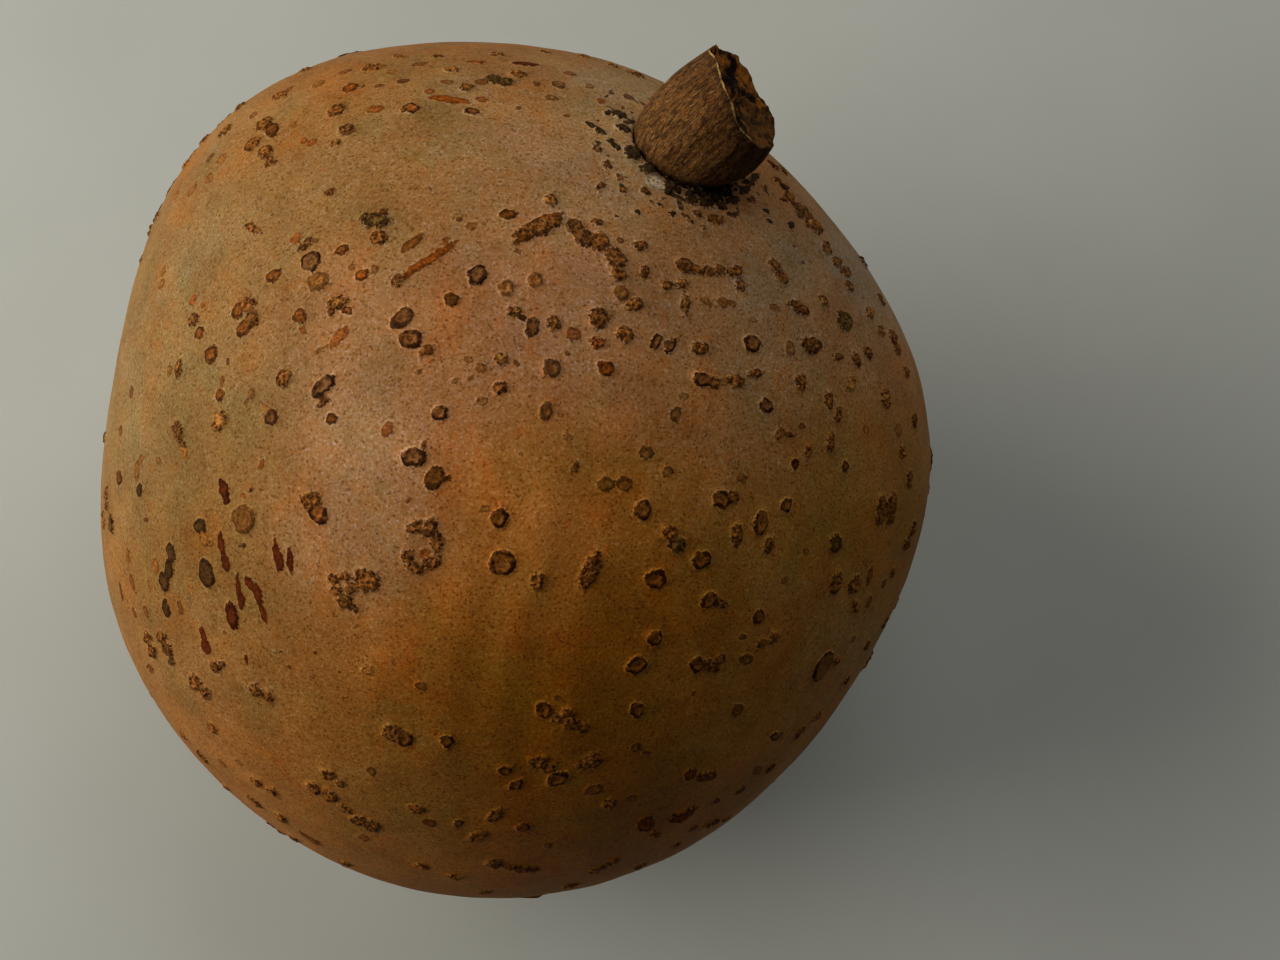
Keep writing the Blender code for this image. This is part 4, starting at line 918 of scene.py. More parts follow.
# The stalk's fluted side, against its radius, and its torn end: height, middle and spread of each rise
BROAD_FLUTES = 0.014
FINE_FLUTES = 0.010
EDGE_RISES = (
    (0.0014, 2.95, 0.80),
    (0.0008, 5.60, 0.75),
    (-0.00115, math.pi, 0.22),
)
EDGE_WAVES = (
    (0.00026, 3, 1.0),
    (0.00018, 8, 0.0),
)
TORN_DEPTH = 0.0003
TORN_HOLLOW = 0.0008
TORN_WAVE = 0.00022
STALK_SIDES = 200
STALK_RINGS = 60
END_RINGS = 26
SEAM_GAP = 1e-7

# Fibres drawn out along the side, lumps of the torn wood, and splinters of its rim.
# Each layer has its height, its size and its seed.
FIBRE_FINENESS = 7
FIBRE_RUN = 1.2
FIBRE_LAYERS = (
    (0.00013, 0.55, 31),
    (0.00008, 0.26, 33),
)
TORN_LAYERS = (
    (0.00055, 0.0016, 35),
    (0.00034, 0.0006, 37),
)
SPLINTER_HEIGHT = 0.00035
SPLINTER_SIZE = 0.0011
SPLINTERED_SIDE = 0.2


def stalk_radius(turn, share):
    """The fluted stalk's radius, this far round it and this share of the way up."""
    plain = STALK_FOOT_RADIUS + (STALK_TIP_RADIUS - STALK_FOOT_RADIUS) * np.sin(share * math.pi / 2)
    flutes = BROAD_FLUTES * np.cos(7 * turn + 0.6) + FINE_FLUTES * np.cos(11 * turn + 2 * share)
    swell = (BARREL - BARREL_LEAN * np.sin(turn)) * np.sin(math.pi * share**BARREL_SHIFT)
    return (plain + swell) * (1 + np.minimum(share * 5, 1.0) * flutes)


def rise_at(turn, height, middle, spread):
    """One smooth rise of the torn end's edge, or a notch where its height is negative."""
    from_middle = np.arctan2(np.sin(turn - middle), np.cos(turn - middle))
    return height * np.exp(-((from_middle / spread) ** 2))


def ragged_edge(turn):
    """How far the torn end stands above the plain cut."""
    rises = sum(rise_at(turn, *rise) for rise in EDGE_RISES)
    return rises + sum(height * np.cos(count * turn + start) for height, count, start in EDGE_WAVES)


def torn_depth(turn, share):
    """How far the torn wood lies below the rim of the cut."""
    hollow = TORN_HOLLOW * np.maximum(0.0, np.cos(turn + 2.3)) * np.sin(math.pi * share)
    return TORN_DEPTH * (1 - share**4) + hollow + TORN_WAVE * np.cos(5 * turn + 9 * share)


def stalk_side_points(turn, share):
    """Points on the stalk's side, from the skin at share 0 to the cut at share 1."""
    outward = np.cos(turn)[:, None] * STALK_TOWARDS + np.sin(turn)[:, None] * STALK_ACROSS
    outward = outward * stalk_radius(turn, share)[:, None]
    at_skin = -(outward @ STALK_FOOT_DIRECTION) / (STALK_AXIS @ STALK_FOOT_DIRECTION)
    at_cut = STALK_LENGTH - (outward @ CUT_NORMAL) / (STALK_AXIS @ CUT_NORMAL) + ragged_edge(turn)
    return STALK_FOOT + outward + ((1 - share) * at_skin + share * at_cut)[:, None] * STALK_AXIS


def stalk_rings():
    """The stalk's rings of points, from its foot up its side and in over the torn end.

    Each ring has its share of the way, up the side or out from the end's middle, and 1 if it is torn.
    """
    turn = np.arange(STALK_SIDES) * 2 * math.pi / STALK_SIDES
    whole = np.ones(STALK_SIDES)
    foot = stalk_side_points(turn, 0 * whole)
    sunk = (SOCKET_DEPTH - FIT_GAP) * STALK_FOOT_DIRECTION
    rings = [(foot - sunk, 0.0, 0.0), (foot - 0.5 * sunk, 0.0, 0.0)]
    outward = unit(np.cos(turn)[:, None] * STALK_TOWARDS + np.sin(turn)[:, None] * STALK_ACROSS)
    for ring in range(STALK_RINGS + 1):
        share = ring / STALK_RINGS
        round_it = FIBRE_FINENESS * np.stack([np.cos(turn), np.sin(turn)], axis=1)
        fibres = layered(np.column_stack([round_it, FIBRE_RUN * share * whole]), FIBRE_LAYERS)
        raised = (min(4 * share, 1.0) * fibres)[:, None] * outward
        rings.append((stalk_side_points(turn, share * whole) + raised, share, 0.0))
    rim = rings[-1][0]
    splinters = lumps(rim, SPLINTER_SIZE, 39) * (np.cos(turn) < SPLINTERED_SIDE)
    rim = rim + (SPLINTER_HEIGHT * splinters)[:, None] * STALK_AXIS
    rings[-1] = (rim, 1.0, 0.0)
    middle = rim.mean(axis=0)
    for ring in range(1, END_RINGS + 1):
        share = 1 - ring / (END_RINGS + 1)
        flat = middle + (rim - middle) * share
        torn = layered(flat, TORN_LAYERS)
        depth = torn_depth(turn, share * whole) * smooth(ring / 3) + torn * smooth(ring / 2)
        rings.append((flat - depth[:, None] * STALK_AXIS, share, 1.0))
    return rings


def stalk_piece(material):
    """The stub of stalk: a foot in the socket, a fibrous side, a thin bark edge and the torn end."""
    rings = stalk_rings()
    steps = len(rings) - 1
    limits = np.array(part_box("stalk"))
    mesh = bmesh.new()
    place = mesh.verts.layers.float_color.new("stalk_place")
    bmesh.ops.create_grid(mesh, x_segments=STALK_SIDES, y_segments=steps, size=0.5)
    for vertex in mesh.verts:
        side = round((vertex.co.x + 0.5) * STALK_SIDES) % STALK_SIDES
        points, share, torn = rings[round((vertex.co.y + 0.5) * steps)]
        turn = side * 2 * math.pi / STALK_SIDES
        vertex[place] = (math.cos(turn), math.sin(turn), share, torn)
        vertex.co = np.clip(points[side], *limits)
    bmesh.ops.remove_doubles(mesh, verts=mesh.verts, dist=SEAM_GAP)
    bmesh.ops.holes_fill(mesh, edges=[edge for edge in mesh.edges if edge.is_boundary])
    caps = [face for face in mesh.faces if len(face.verts) == STALK_SIDES]
    end = [face for face in caps if face.verts[0][place][3] == 1.0]
    hub = bmesh.ops.poke(mesh, faces=end)["verts"][0]
    hub[place] = (0.0, 0.0, 0.0, 1.0)
    bmesh.ops.recalc_face_normals(mesh, faces=mesh.faces)
    return new_piece("stalk_wood", mesh, material)


# Crumbs of scurf heaped round the stalk's foot
CRUMBS_SEED = 61
CRUMBS = 90
CRUMB_SIZES = (0.00014, 0.00046)
BIG_CRUMB = 1.6
BIG_CRUMBS_SHARE = 0.10
CRUMBS_MIDDLE_TURN = 1.15
CRUMBS_TURN_SPREAD = 0.40
CRUMBS_NEAREST = 0.0070
CRUMBS_SPREAD = 0.0013
CRUMB_LIFT = 0.2
CRUMB_STRETCHES = ((0.7, 1.5), (0.7, 1.3), (0.6, 1.0))
CRUMB_DENTS = 0.35
CRUMB_DENT_FINENESS = 1.4
CRUMB_VARIETY = 900


def crumbs_piece(material):
    """Small dark lumps of scurf, sunk in the skin round the stalk and thickest below it."""
    draw = random.Random(CRUMBS_SEED)
    first = unit(STALK_TOWARDS - (STALK_TOWARDS @ STALK_FOOT_DIRECTION) * STALK_FOOT_DIRECTION)
    second = np.cross(STALK_FOOT_DIRECTION, first)
    mesh = bmesh.new()
    for _ in range(CRUMBS):
        turn = draw.gauss(CRUMBS_MIDDLE_TURN, CRUMBS_TURN_SPREAD)
        away = CRUMBS_NEAREST + abs(draw.gauss(0, CRUMBS_SPREAD))
        size = draw.uniform(*CRUMB_SIZES)
        if draw.random() < BIG_CRUMBS_SHARE:
            size *= BIG_CRUMB
        flat = away * (math.cos(turn) * first + math.sin(turn) * second)
        direction = unit(STALK_FOOT_DIRECTION * FRUIT_RADIUS + flat)
        place = FRUIT_MIDDLE + direction * (skin_radius(direction[None])[0] + CRUMB_LIFT * size)
        lump = bmesh.ops.create_icosphere(mesh, subdivisions=2, radius=size)["verts"]
        stretch = Vector([draw.uniform(*ends) for ends in CRUMB_STRETCHES])
        spin = Matrix.Rotation(draw.uniform(0, math.pi), 3, Vector(direction))
        for vertex in lump:
            own = vertex.co / size * CRUMB_DENT_FINENESS + Vector(place) * CRUMB_VARIETY
            bump = 1 + CRUMB_DENTS * noise.noise(own)
            vertex.co = spin @ (vertex.co * stretch * bump) + Vector(place)
    return new_piece("stalk_scurf", mesh, material)


class Recipe:
    """A tree of nodes that a finish, or an effect that finishes share, is mixed in."""

    def __init__(self, tree):
        self.tree = tree

    def wire(self, value, socket):
        """Sets a socket to a value, or links it."""
        if isinstance(value, bpy.types.NodeSocket):
            self.tree.links.new(value, socket)
        else:
            socket.default_value = value

    def place(self):
        """Where the surface stands, in the piece's own metres."""
        return self.tree.nodes.new("ShaderNodeTexCoord").outputs["Object"]

    def fact(self, name, output="Color"):
        """A fact that the piece's vertices carry."""
        node = self.tree.nodes.new("ShaderNodeAttribute")
        node.attribute_name = name
        return node.outputs[output]

    def parts(self, colour):
        """The three numbers of a colour."""
        node = self.tree.nodes.new("ShaderNodeSeparateColor")
        self.wire(colour, node.inputs[0])
        return node.outputs

    def clouds(self, where, size, detail=3.0, rough=0.55, warp=0.0):
        """Soft random clouds, 0 to 1, of this size."""
        node = self.tree.nodes.new("ShaderNodeTexNoise")
        self.wire(where, node.inputs["Vector"])
        node.inputs["Scale"].default_value = 1 / size
        node.inputs["Detail"].default_value = detail
        node.inputs["Roughness"].default_value = rough
        node.inputs["Distortion"].default_value = warp
        return node.outputs["Fac"]

    def cells(self, where, size, output="Distance"):
        """Round cells of this size: the distance from each one's middle, or its own random colour."""
        node = self.tree.nodes.new("ShaderNodeTexVoronoi")
        self.wire(where, node.inputs["Vector"])
        node.inputs["Scale"].default_value = 1 / size
        return node.outputs[output]

    def ease(self, value, start, end, low=0.0, high=1.0):
        """Goes evenly from low to high as the value goes from start to end."""
        node = self.tree.nodes.new("ShaderNodeMapRange")
        node.interpolation_type = "SMOOTHSTEP"
        for socket, number in zip(node.inputs, (value, start, end, low, high)):
            self.wire(number, socket)
        return node.outputs[0]

    def sum(self, work, first, second):
        """One sum of two numbers."""
        node = self.tree.nodes.new("ShaderNodeMath")
        node.operation = work
        self.wire(first, node.inputs[0])
        self.wire(second, node.inputs[1])
        return node.outputs[0]

    def times(self, *values):
        """The product of the values."""
        product = values[0]
        for value in values[1:]:
            product = self.sum("MULTIPLY", product, value)
        return product

    def plus(self, *values):
        """The values added up."""
        total = values[0]
        for value in values[1:]:
            total = self.sum("ADD", total, value)
        return total

    def mix(self, share, first, second, blend="MIX"):
        """Goes from the first colour to the second."""
        node = self.tree.nodes.new("ShaderNodeMix")
        node.data_type = "RGBA"
        node.blend_type = blend
        self.wire(share, node.inputs[0])
        self.wire(first, node.inputs[6])
        self.wire(second, node.inputs[7])
        return node.outputs[2]

    def shaded(self, colour, factor):
        """The colour, darker or lighter by a factor."""
        node = self.tree.nodes.new("ShaderNodeVectorMath")
        node.operation = "SCALE"
        self.wire(colour, node.inputs[0])
        self.wire(factor, node.inputs["Scale"])
        return node.outputs[0]

    def stretched(self, vector, scale):
        """The place, drawn out by a scale each way."""
        node = self.tree.nodes.new("ShaderNodeVectorMath")
        node.operation = "MULTIPLY"
        self.wire(vector, node.inputs[0])
        node.inputs[1].default_value = scale
        return node.outputs[0]

    def wobbled(self, where, size, amount):
        """The place, pushed about at random by up to half this amount."""
        push = self.tree.nodes.new("ShaderNodeTexNoise")
        self.wire(where, push.inputs["Vector"])
        push.inputs["Scale"].default_value = 1 / size
        moved = self.tree.nodes.new("ShaderNodeVectorMath")
        moved.operation = "MULTIPLY_ADD"
        self.wire(push.outputs["Color"], moved.inputs[0])
        moved.inputs[1].default_value = (amount, amount, amount)
        self.wire(where, moved.inputs[2])
        return moved.outputs[0]

    def bumped(self, height, distance, strength=1.0, before=None):
        """The surface's direction with a fine relief on it."""
        node = self.tree.nodes.new("ShaderNodeBump")
        self.wire(strength, node.inputs["Strength"])
        self.wire(distance, node.inputs["Distance"])
        self.wire(height, node.inputs["Height"])
        if before is not None:
            self.wire(before, node.inputs["Normal"])
        return node.outputs["Normal"]


class Finish(Recipe):
    """A matt material, built up from the piece's own places and attributes."""

    def __init__(self, name):
        self.material = bpy.data.materials.new(name)
        self.material.use_nodes = True
        super().__init__(self.material.node_tree)
        self.shader = self.tree.nodes["Principled BSDF"]

    def grained(self, grain, where, size, rough, relief, depth, strength):
        """The shared grain in this size: its mask, and the surface's direction with a relief on it."""
        node = self.tree.nodes.new("ShaderNodeGroup")
        node.node_tree = grain
        for socket, value in zip(node.inputs, (where, 1 / size, rough, relief, depth, strength)):
            self.wire(value, socket)
        return node.outputs

    def finished(self, colour, roughness, shine, direction=None):
        """The material with this colour, roughness and shine, and this direction of its surface."""
        self.wire(colour, self.shader.inputs["Base Color"])
        self.wire(roughness, self.shader.inputs["Roughness"])
        self.wire(shine, self.shader.inputs["Specular IOR Level"])
        if direction is not None:
            self.wire(direction, self.shader.inputs["Normal"])
        return self.material


GRAIN_GIVEN = ("Fineness", "Roughness", "Relief", "Depth", "Strength")
GRAIN_DETAIL = 3.0


def dry_grain():
    """The fine dry grain that the skin, the bark and the scurf share."""
    tree = bpy.data.node_groups.new("dry grain", "ShaderNodeTree")
    tree.interface.new_socket("Place", in_out="INPUT", socket_type="NodeSocketVector")
    for name in GRAIN_GIVEN:
        tree.interface.new_socket(name, in_out="INPUT", socket_type="NodeSocketFloat")
    tree.interface.new_socket("Grain", in_out="OUTPUT", socket_type="NodeSocketFloat")
    tree.interface.new_socket("Direction", in_out="OUTPUT", socket_type="NodeSocketVector")
    given = tree.nodes.new("NodeGroupInput").outputs
    result = tree.nodes.new("NodeGroupOutput").inputs
    g = Recipe(tree)
    clouds = tree.nodes.new("ShaderNodeTexNoise")
    clouds.inputs["Detail"].default_value = GRAIN_DETAIL
    g.wire(given["Place"], clouds.inputs["Vector"])
    g.wire(given["Fineness"], clouds.inputs["Scale"])
    g.wire(given["Roughness"], clouds.inputs["Roughness"])
    g.wire(clouds.outputs["Fac"], result["Grain"])
    height = g.plus(clouds.outputs["Fac"], given["Relief"])
    g.wire(g.bumped(height, given["Depth"], given["Strength"]), result["Direction"])
    return tree


# Tints of the skin, each against the colour below it, and its dark specks
PALER = (1.06, 1.12, 1.30, 1.0)
GREENER = (0.92, 1.03, 1.06, 1.0)
RUSTIER = (1.06, 0.90, 0.72, 1.0)
DUSKIER = (0.88, 0.82, 0.66, 1.0)
LIGHTER = (1.12, 1.20, 1.45, 1.0)
PALE_GRAIN = (1.36, 1.65, 2.80, 1.0)
DARK_GRAIN = (0.72, 0.55, 0.26, 1.0)
SKIN_SPECK = (0.50, 0.42, 0.36, 1.0)
# The scabs' cork, against each scab's own colour
CORK_LIGHTER = (1.75, 2.10, 2.40, 1.0)
CORK_SHADE = (0.070, 0.019, 0.004, 1.0)
CORK_DARK = (0.017, 0.0040, 0.0010, 1.0)
# Pale ring round each scab: partly paler skin, partly a painted highlight of its raised edge
HALO_AND_HIGHLIGHT_PALE = (1.50, 1.65, 2.00, 1.0)
PORE_DARK = (0.42, 0.34, 0.30, 1.0)
# Sizes of the skin's patches and specks, how far apart its pores lie, and its grain
BROAD_SIZE = 0.0085
BLUSH_SIZE = 0.014
DUSK_SIZE = 0.0105
MIDDLING_SIZE = 0.0022
FLECK_SIZE = 0.00085
SPECK_SIZE = 0.00026
PORE_SPACING = 0.0017
SKIN_GRAIN_SIZE = 0.00036
SKIN_GRAIN_DEPTH = 0.00010
# Sizes of the breaks, tears and crumbs of a scab's cork
BREAK_SIZE = 0.0009
TEAR_SIZE = 0.00042
CORK_CRUMB_SIZE = 0.00050
CORK_WOBBLE_SIZE = 0.0006
CORK_WOBBLE = 0.00045
CORK_DEPTH = 0.00012


def skin_ground(f, where, grain, speck):
    """The skin's colour between its scabs: its own tones, mottled, flecked, grained and with pores."""
    broad = f.clouds(where, BROAD_SIZE, 3.0, 0.6)
    middling = f.clouds(where, MIDDLING_SIZE, 4.0, 0.65)
    fleck = f.clouds(where, FLECK_SIZE, 4.0, 0.75)
    blush = f.clouds(where, BLUSH_SIZE, 4.0, 0.62, 0.4)
    dusk = f.clouds(f.stretched(where, (1.3, 0.8, 1.0)), DUSK_SIZE, 4.0, 0.62, 0.4)
    pore_cells = f.cells(where, PORE_SPACING)
    pore_pick = f.parts(f.cells(where, PORE_SPACING, "Color"))[1]
    pores = f.times(f.ease(pore_cells, 0.10, 0.05), f.ease(pore_pick, 0.62, 0.66), 0.85)
    ground = f.shaded(f.fact("skin_tone"), f.ease(broad, 0.3, 0.7, 0.93, 1.19))
    for share, tint in (
        (f.ease(blush, 0.49, 0.63), PALER),
        (f.ease(dusk, 0.51, 0.65), GREENER),
        (f.ease(dusk, 0.47, 0.35), RUSTIER),
        (f.ease(middling, 0.52, 0.70), RUSTIER),
        (f.ease(middling, 0.48, 0.32), DUSKIER),
        (f.ease(fleck, 0.54, 0.72), LIGHTER),
        (f.ease(fleck, 0.46, 0.30), DUSKIER),
        (f.ease(grain, 0.50, 0.72), PALE_GRAIN),
        (f.ease(grain, 0.50, 0.28), DARK_GRAIN),
        (f.ease(speck, 0.84, 0.94), LIGHTER),
        (f.ease(speck, 0.13, 0.04, 0.0, 0.80), SKIN_SPECK),
        (pores, PORE_DARK),
    ):
        ground = f.mix(share, ground, tint, "MULTIPLY")
    return ground


def skin_finish(dry):
    """Tan leathery skin: sandy grain, pores, soft mottling, and scabs with dark rims and crumbs."""
    f = Finish("leathery skin")
    where = f.place()
    edge = f.fact("scab_edge", "Fac")
    rim_share, crumbly, solid = f.parts(f.fact("scab_form"))[0:3]
    scab = f.fact("scab_colour")
    breadth = f.fact("scab_form", "Alpha")

    speck = f.parts(f.cells(where, SPECK_SIZE, "Color"))[0]
    relief = f.times(speck, 0.25)
    grain, fine = f.grained(dry, where, SKIN_GRAIN_SIZE, 0.7, relief, SKIN_GRAIN_DEPTH, 0.55)
    ground = skin_ground(f, where, grain, speck)

    wobbled = f.wobbled(where, CORK_WOBBLE_SIZE, CORK_WOBBLE)
    tear = f.clouds(where, TEAR_SIZE, 3.0, 0.65)
    raggedness = f.times(f.ease(crumbly, 0.3, 1.0, 0.65, 1.5), f.ease(breadth, 0.2, 0.7, 0.45, 1.0))
    to_edge = f.plus(edge, f.times(f.plus(tear, -0.5), raggedness))
    body = f.times(f.ease(to_edge, 0.05, -0.05), solid)
    inwards = f.times(to_edge, f.ease(breadth, 0.35, 1.15, 1.7, 1.0))
    broken = f.ease(f.clouds(where, BREAK_SIZE, 2.0, 0.5), 0.36, 0.54, 0.35, 1.0)
    rim = f.times(f.ease(inwards, -0.62, -0.34), f.ease(to_edge, 0.07, 0.0), rim_share, broken)
    inner = f.times(f.ease(inwards, -1.08, -0.94), f.ease(inwards, -0.78, -0.88))
    inner = f.times(inner, rim_share, f.ease(tear, 0.42, 0.52))
    # Pale ring just outside each scab: partly paler skin, partly a painted highlight of the raised edge
    # catching the light
    halo_and_highlight = f.times(f.ease(to_edge, 0.32, 0.06), f.ease(to_edge, -0.02, 0.05))
    halo_and_highlight = f.times(halo_and_highlight, f.ease(rim_share, 0.4, 1.0, 0.20, 0.70))
    crumb_distance = f.cells(wobbled, CORK_CRUMB_SIZE)
    fill_shade = f.times(f.ease(grain, 0.25, 0.75, 0.50, 1.50), f.ease(crumbly, 0.4, 0.9, 1.0, 1.15))
    fill = f.shaded(scab, fill_shade)
    fill = f.mix(f.ease(tear, 0.52, 0.66, 0.0, 0.60), fill, CORK_SHADE)
    crumb_top = f.times(f.ease(crumb_distance, 0.46, 0.70), crumbly, 0.75)
    fill = f.mix(crumb_top, fill, CORK_LIGHTER, "MULTIPLY")
    crumb_gap = f.times(f.ease(crumb_distance, 0.52, 0.26), crumbly, 0.85)
    fill = f.mix(crumb_gap, fill, CORK_DARK)
    colour = f.mix(halo_and_highlight, ground, HALO_AND_HIGHLIGHT_PALE, "MULTIPLY")
    colour = f.mix(body, colour, fill)
    colour = f.mix(f.times(inner, 0.75), colour, CORK_SHADE)
    colour = f.mix(f.times(rim, 0.92), colour, CORK_DARK)

    roughness = f.ease(grain, 0.3, 0.7, 0.56, 0.70)
    shine = f.ease(body, 0.0, 1.0, 0.045, 0.02)
    heaped = f.times(f.ease(crumb_distance, 0.7, 0.25), crumbly, f.ease(to_edge, 0.02, -0.2))
    lip = f.times(f.ease(to_edge, -0.42, -0.18), f.ease(to_edge, 0.16, 0.0), rim_share, broken, 0.5)
    direction = f.bumped(f.plus(heaped, lip), CORK_DEPTH, 0.6, fine)
    return f.finished(colour, roughness, shine, direction)


# The bark's browns and the torn wood's
BARK_DARK = (0.046, 0.017, 0.003, 1.0)
BARK_BROWN = (0.164, 0.066, 0.0135, 1.0)
BARK_OCHRE = (0.252, 0.115, 0.024, 1.0)
BARK_PALE = (0.390, 0.220, 0.066, 1.0)
# Dark flecks of the bark; also laid on as painted shade at the stalk's foot and on its side away from the
# light
BARK_FLECK_AND_SHADE = (0.022, 0.008, 0.002, 1.0)
BARK_RIM = (0.520, 0.300, 0.085, 1.0)
BARK_UPPER = (0.80, 0.74, 0.70, 1.0)
# Black of the torn wood; also the painted shadow in the groove behind the bark's rim
TORN_BLACK_AND_SHADOW = (0.012, 0.006, 0.002, 1.0)
TORN_ORANGE = (0.330, 0.105, 0.011, 1.0)
# Dark grey of the torn wood, laid on partly as painted shade on the end's side away from the light
TORN_GREY_AND_SHADE = (0.095, 0.046, 0.014, 1.0)
BARK_GRAIN_SIZE = 0.00032
BARK_DEPTH = 0.000175
MOTTLE_SIZE = 0.0016
TORN_PATCH_SIZE = 0.0030


def bark_finish(dry):
    """Dry brown bark with pale fibres along it, a thin pale rim and a dark torn end."""
    f = Finish("dry bark")
    where = f.place()
    own = f.fact("stalk_place", "Vector")
    torn = f.fact("stalk_place", "Alpha")
    towards, across, share = f.parts(f.fact("stalk_place"))[0:3]
    streaks = f.clouds(f.stretched(own, (6.8, 6.8, 4.6)), 0.50, 5.0, 0.72, 0.6)
    fibres = f.clouds(f.stretched(own, (6.8, 6.8, 1.9)), 0.21, 3.0, 0.6, 0.5)
    net = f.clouds(f.stretched(own, (6.8, 6.8, 7.0)), 0.30, 4.0, 0.75, 0.8)
    mottle = f.clouds(where, MOTTLE_SIZE, 4.0, 0.65)
    relief = f.plus(f.times(streaks, 1.6), f.times(net, 1.2))
    grain, direction = f.grained(dry, where, BARK_GRAIN_SIZE, 0.7, relief, BARK_DEPTH, 0.8)
    side = f.mix(f.ease(streaks, 0.40, 0.60), BARK_DARK, BARK_BROWN)
    side = f.mix(f.ease(net, 0.53, 0.68, 0.0, 0.60), side, BARK_OCHRE)
    side = f.mix(f.ease(net, 0.46, 0.34, 0.0, 0.85), side, BARK_FLECK_AND_SHADE)
    side = f.mix(f.ease(fibres, 0.61, 0.70, 0.0, 0.55), side, BARK_PALE)
    threads = f.clouds(f.stretched(own, (7.5, 7.5, 1.7)), 0.52, 2.0, 0.5, 0.6)
    thread = f.ease(f.sum("ABSOLUTE", f.plus(threads, -0.5), 0.0), 0.016, 0.004)
    side = f.mix(f.times(thread, f.ease(net, 0.42, 0.52), 0.70), side, BARK_PALE)
    side = f.mix(f.ease(mottle, 0.44, 0.28, 0.0, 0.50), side, BARK_FLECK_AND_SHADE)
    # Painted shade where the stalk's foot meets the skin: the side darkens towards the foot
    low = f.plus(share, f.times(f.plus(mottle, -0.5), 0.6))
    side = f.mix(f.ease(low, 0.10, -0.06, 0.0, 0.60), side, BARK_FLECK_AND_SHADE)
    # Painted shade: the side turned away from the left window is darker
    side = f.mix(f.times(f.ease(across, 0.30, 0.85), 0.35), side, BARK_FLECK_AND_SHADE)
    near_side = f.times(f.ease(towards, 0.15, 0.50), f.ease(across, 0.80, 0.60))
    side = f.mix(f.ease(share, 0.42, 0.85), side, BARK_UPPER, "MULTIPLY")
    beside_rim = f.times(f.ease(share, 0.88, 0.97), near_side, f.ease(net, 0.58, 0.46))
    side = f.mix(f.times(beside_rim, 0.60), side, BARK_FLECK_AND_SHADE)
    patch = f.clouds(where, TORN_PATCH_SIZE, 3.0, 0.6, 0.5)
    end = f.mix(f.ease(patch, 0.42, 0.55), TORN_BLACK_AND_SHADOW, TORN_ORANGE)
    # Partly painted shade: the torn end is greyer on its side turned away from the left window
    end = f.mix(f.ease(across, 0.30, 0.80, 0.0, 0.60), end, TORN_GREY_AND_SHADE)
    end = f.mix(f.ease(mottle, 0.52, 0.36, 0.0, 0.85), end, TORN_BLACK_AND_SHADOW)
    end = f.mix(f.ease(grain, 0.60, 0.74, 0.0, 0.5), end, BARK_OCHRE)
    broken = f.ease(mottle, 0.36, 0.50, 0.15, 1.0)
    edge_line = f.plus(share, f.times(f.plus(mottle, -0.5), 0.012))
    # Painted shadow in the groove behind the thin bark rim, on the side facing the eye
    groove_shadow = f.times(f.ease(share, 0.84, 0.92), torn, near_side)
    end = f.mix(f.times(groove_shadow, 0.85), end, TORN_BLACK_AND_SHADOW)
    near_rim = f.times(f.ease(edge_line, 0.982, 0.991), near_side, broken)
    colour = f.mix(torn, side, end)
    colour = f.mix(near_rim, colour, BARK_RIM)
    colour = f.shaded(colour, f.ease(grain, 0.25, 0.75, 0.60, 1.40))
    return f.finished(colour, 0.85, 0.10, direction)


# The scurf's colours, and sizes of its tints and grain
SCURF_BLACK = (0.020, 0.011, 0.005, 1.0)
SCURF_BROWN = (0.110, 0.055, 0.020, 1.0)
SCURF_TINT_SIZE = 0.0009
SCURF_GRAIN_SIZE = 0.00022
SCURF_DEPTH = 0.00010


def scurf_finish(dry):
    """Blackish crumbs of dry scurf with a few brown ones."""
    f = Finish("dry scurf")
    where = f.place()
    tint = f.clouds(where, SCURF_TINT_SIZE, 2.0, 0.6)
    colour = f.mix(f.ease(tint, 0.50, 0.68), SCURF_BLACK, SCURF_BROWN)
    direction = f.grained(dry, where, SCURF_GRAIN_SIZE, 0.6, 0.0, SCURF_DEPTH, 0.7)["Direction"]
    return f.finished(colour, 0.8, 0.05, direction)


# The ground's two tones, its patches and its width
FLOOR_DIM = (0.410, 0.412, 0.360, 1.0)
FLOOR_PALE = (0.430, 0.432, 0.380, 1.0)
FLOOR_PATCH_SIZE = 0.05
FLOOR_WIDTH = 1.6


def floor_finish():
    """Plain pale ground."""
    f = Finish("pale ground")
    tone = f.clouds(f.place(), FLOOR_PATCH_SIZE, 3.0, 0.5)
    colour = f.mix(f.ease(tone, 0.3, 0.7), FLOOR_DIM, FLOOR_PALE)
    return f.finished(colour, 0.75, 0.2)


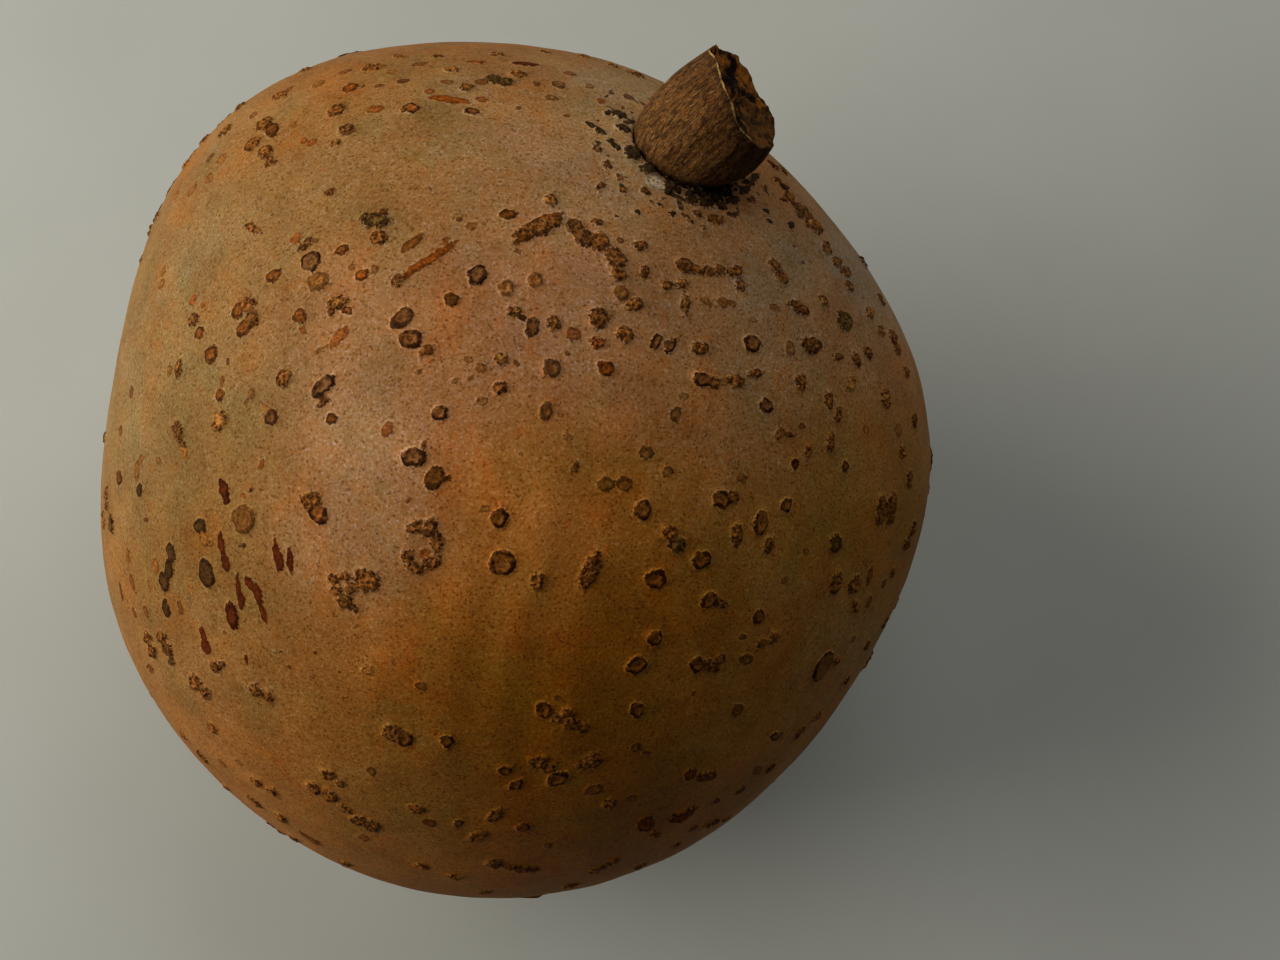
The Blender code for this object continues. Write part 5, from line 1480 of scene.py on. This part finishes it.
# The soft lights: place, what each one aims at, width (m), power (W), colour
LEFT_WINDOW = ((-0.653, 0.086, 0.405), (0.0, 0.0, 0.05), 0.73, 8.0, (1.0, 0.98, 0.94))
FAR_SKY = ((0.481, 0.969, 1.304), (0.0, 0.0, 0.05), 1.57, 11.7, (0.96, 0.98, 1.0))
FILL_TONE = (0.90, 0.95, 1.0, 1.0)
FILL_STRENGTH = 0.02


def light_and_floor():
    """A plain floor, a broad soft window on the left, a wide sky on the far side and a weak fill."""
    mesh = bmesh.new()
    bmesh.ops.create_grid(mesh, x_segments=1, y_segments=1, size=FLOOR_WIDTH / 2)
    floor = new_piece("floor", mesh, floor_finish())

    for name, lamp in (("left window", LEFT_WINDOW), ("far sky", FAR_SKY)):
        place, aim, width, power, colour = lamp
        light = bpy.data.lights.new(name, "AREA")
        light.shape = "SQUARE"
        light.size = width
        light.energy = power
        light.color = colour
        shown = bpy.data.objects.new(name, light)
        shown.location = place
        shown.rotation_euler = (Vector(aim) - Vector(place)).to_track_quat("-Z", "Y").to_euler()
        bpy.context.scene.collection.objects.link(shown)

    world = bpy.data.worlds.new("even fill")
    world.use_nodes = True
    world.node_tree.nodes["Background"].inputs["Color"].default_value = FILL_TONE
    world.node_tree.nodes["Background"].inputs["Strength"].default_value = FILL_STRENGTH
    bpy.context.scene.world = world


def camera():
    """The camera where the eye is."""
    lens = bpy.data.cameras.new("eye")
    lens.lens = LENS_MM
    lens.sensor_width = SENSOR_MM
    eye = bpy.data.objects.new("eye", lens)
    eye.location = EYE
    eye.rotation_euler = (math.radians(90 - LOOKING_DOWN), 0.0, 0.0)
    bpy.context.scene.collection.objects.link(eye)
    bpy.context.scene.camera = eye


def main():
    noise.seed_set(DRIFT_SEED)
    grain = dry_grain()
    skin = skin_piece(skin_finish(grain))
    stalk = stalk_piece(bark_finish(grain))
    scurf = crumbs_piece(scurf_finish(grain))
    for piece, slot in ((skin, "skin"), (stalk, "bark"), (scurf, "bark")):
        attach(piece, "root")
    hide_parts("fruit")
    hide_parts("stalk")
    light_and_floor()
    camera()
    bpy.context.scene.view_settings.view_transform = "Standard"


main()
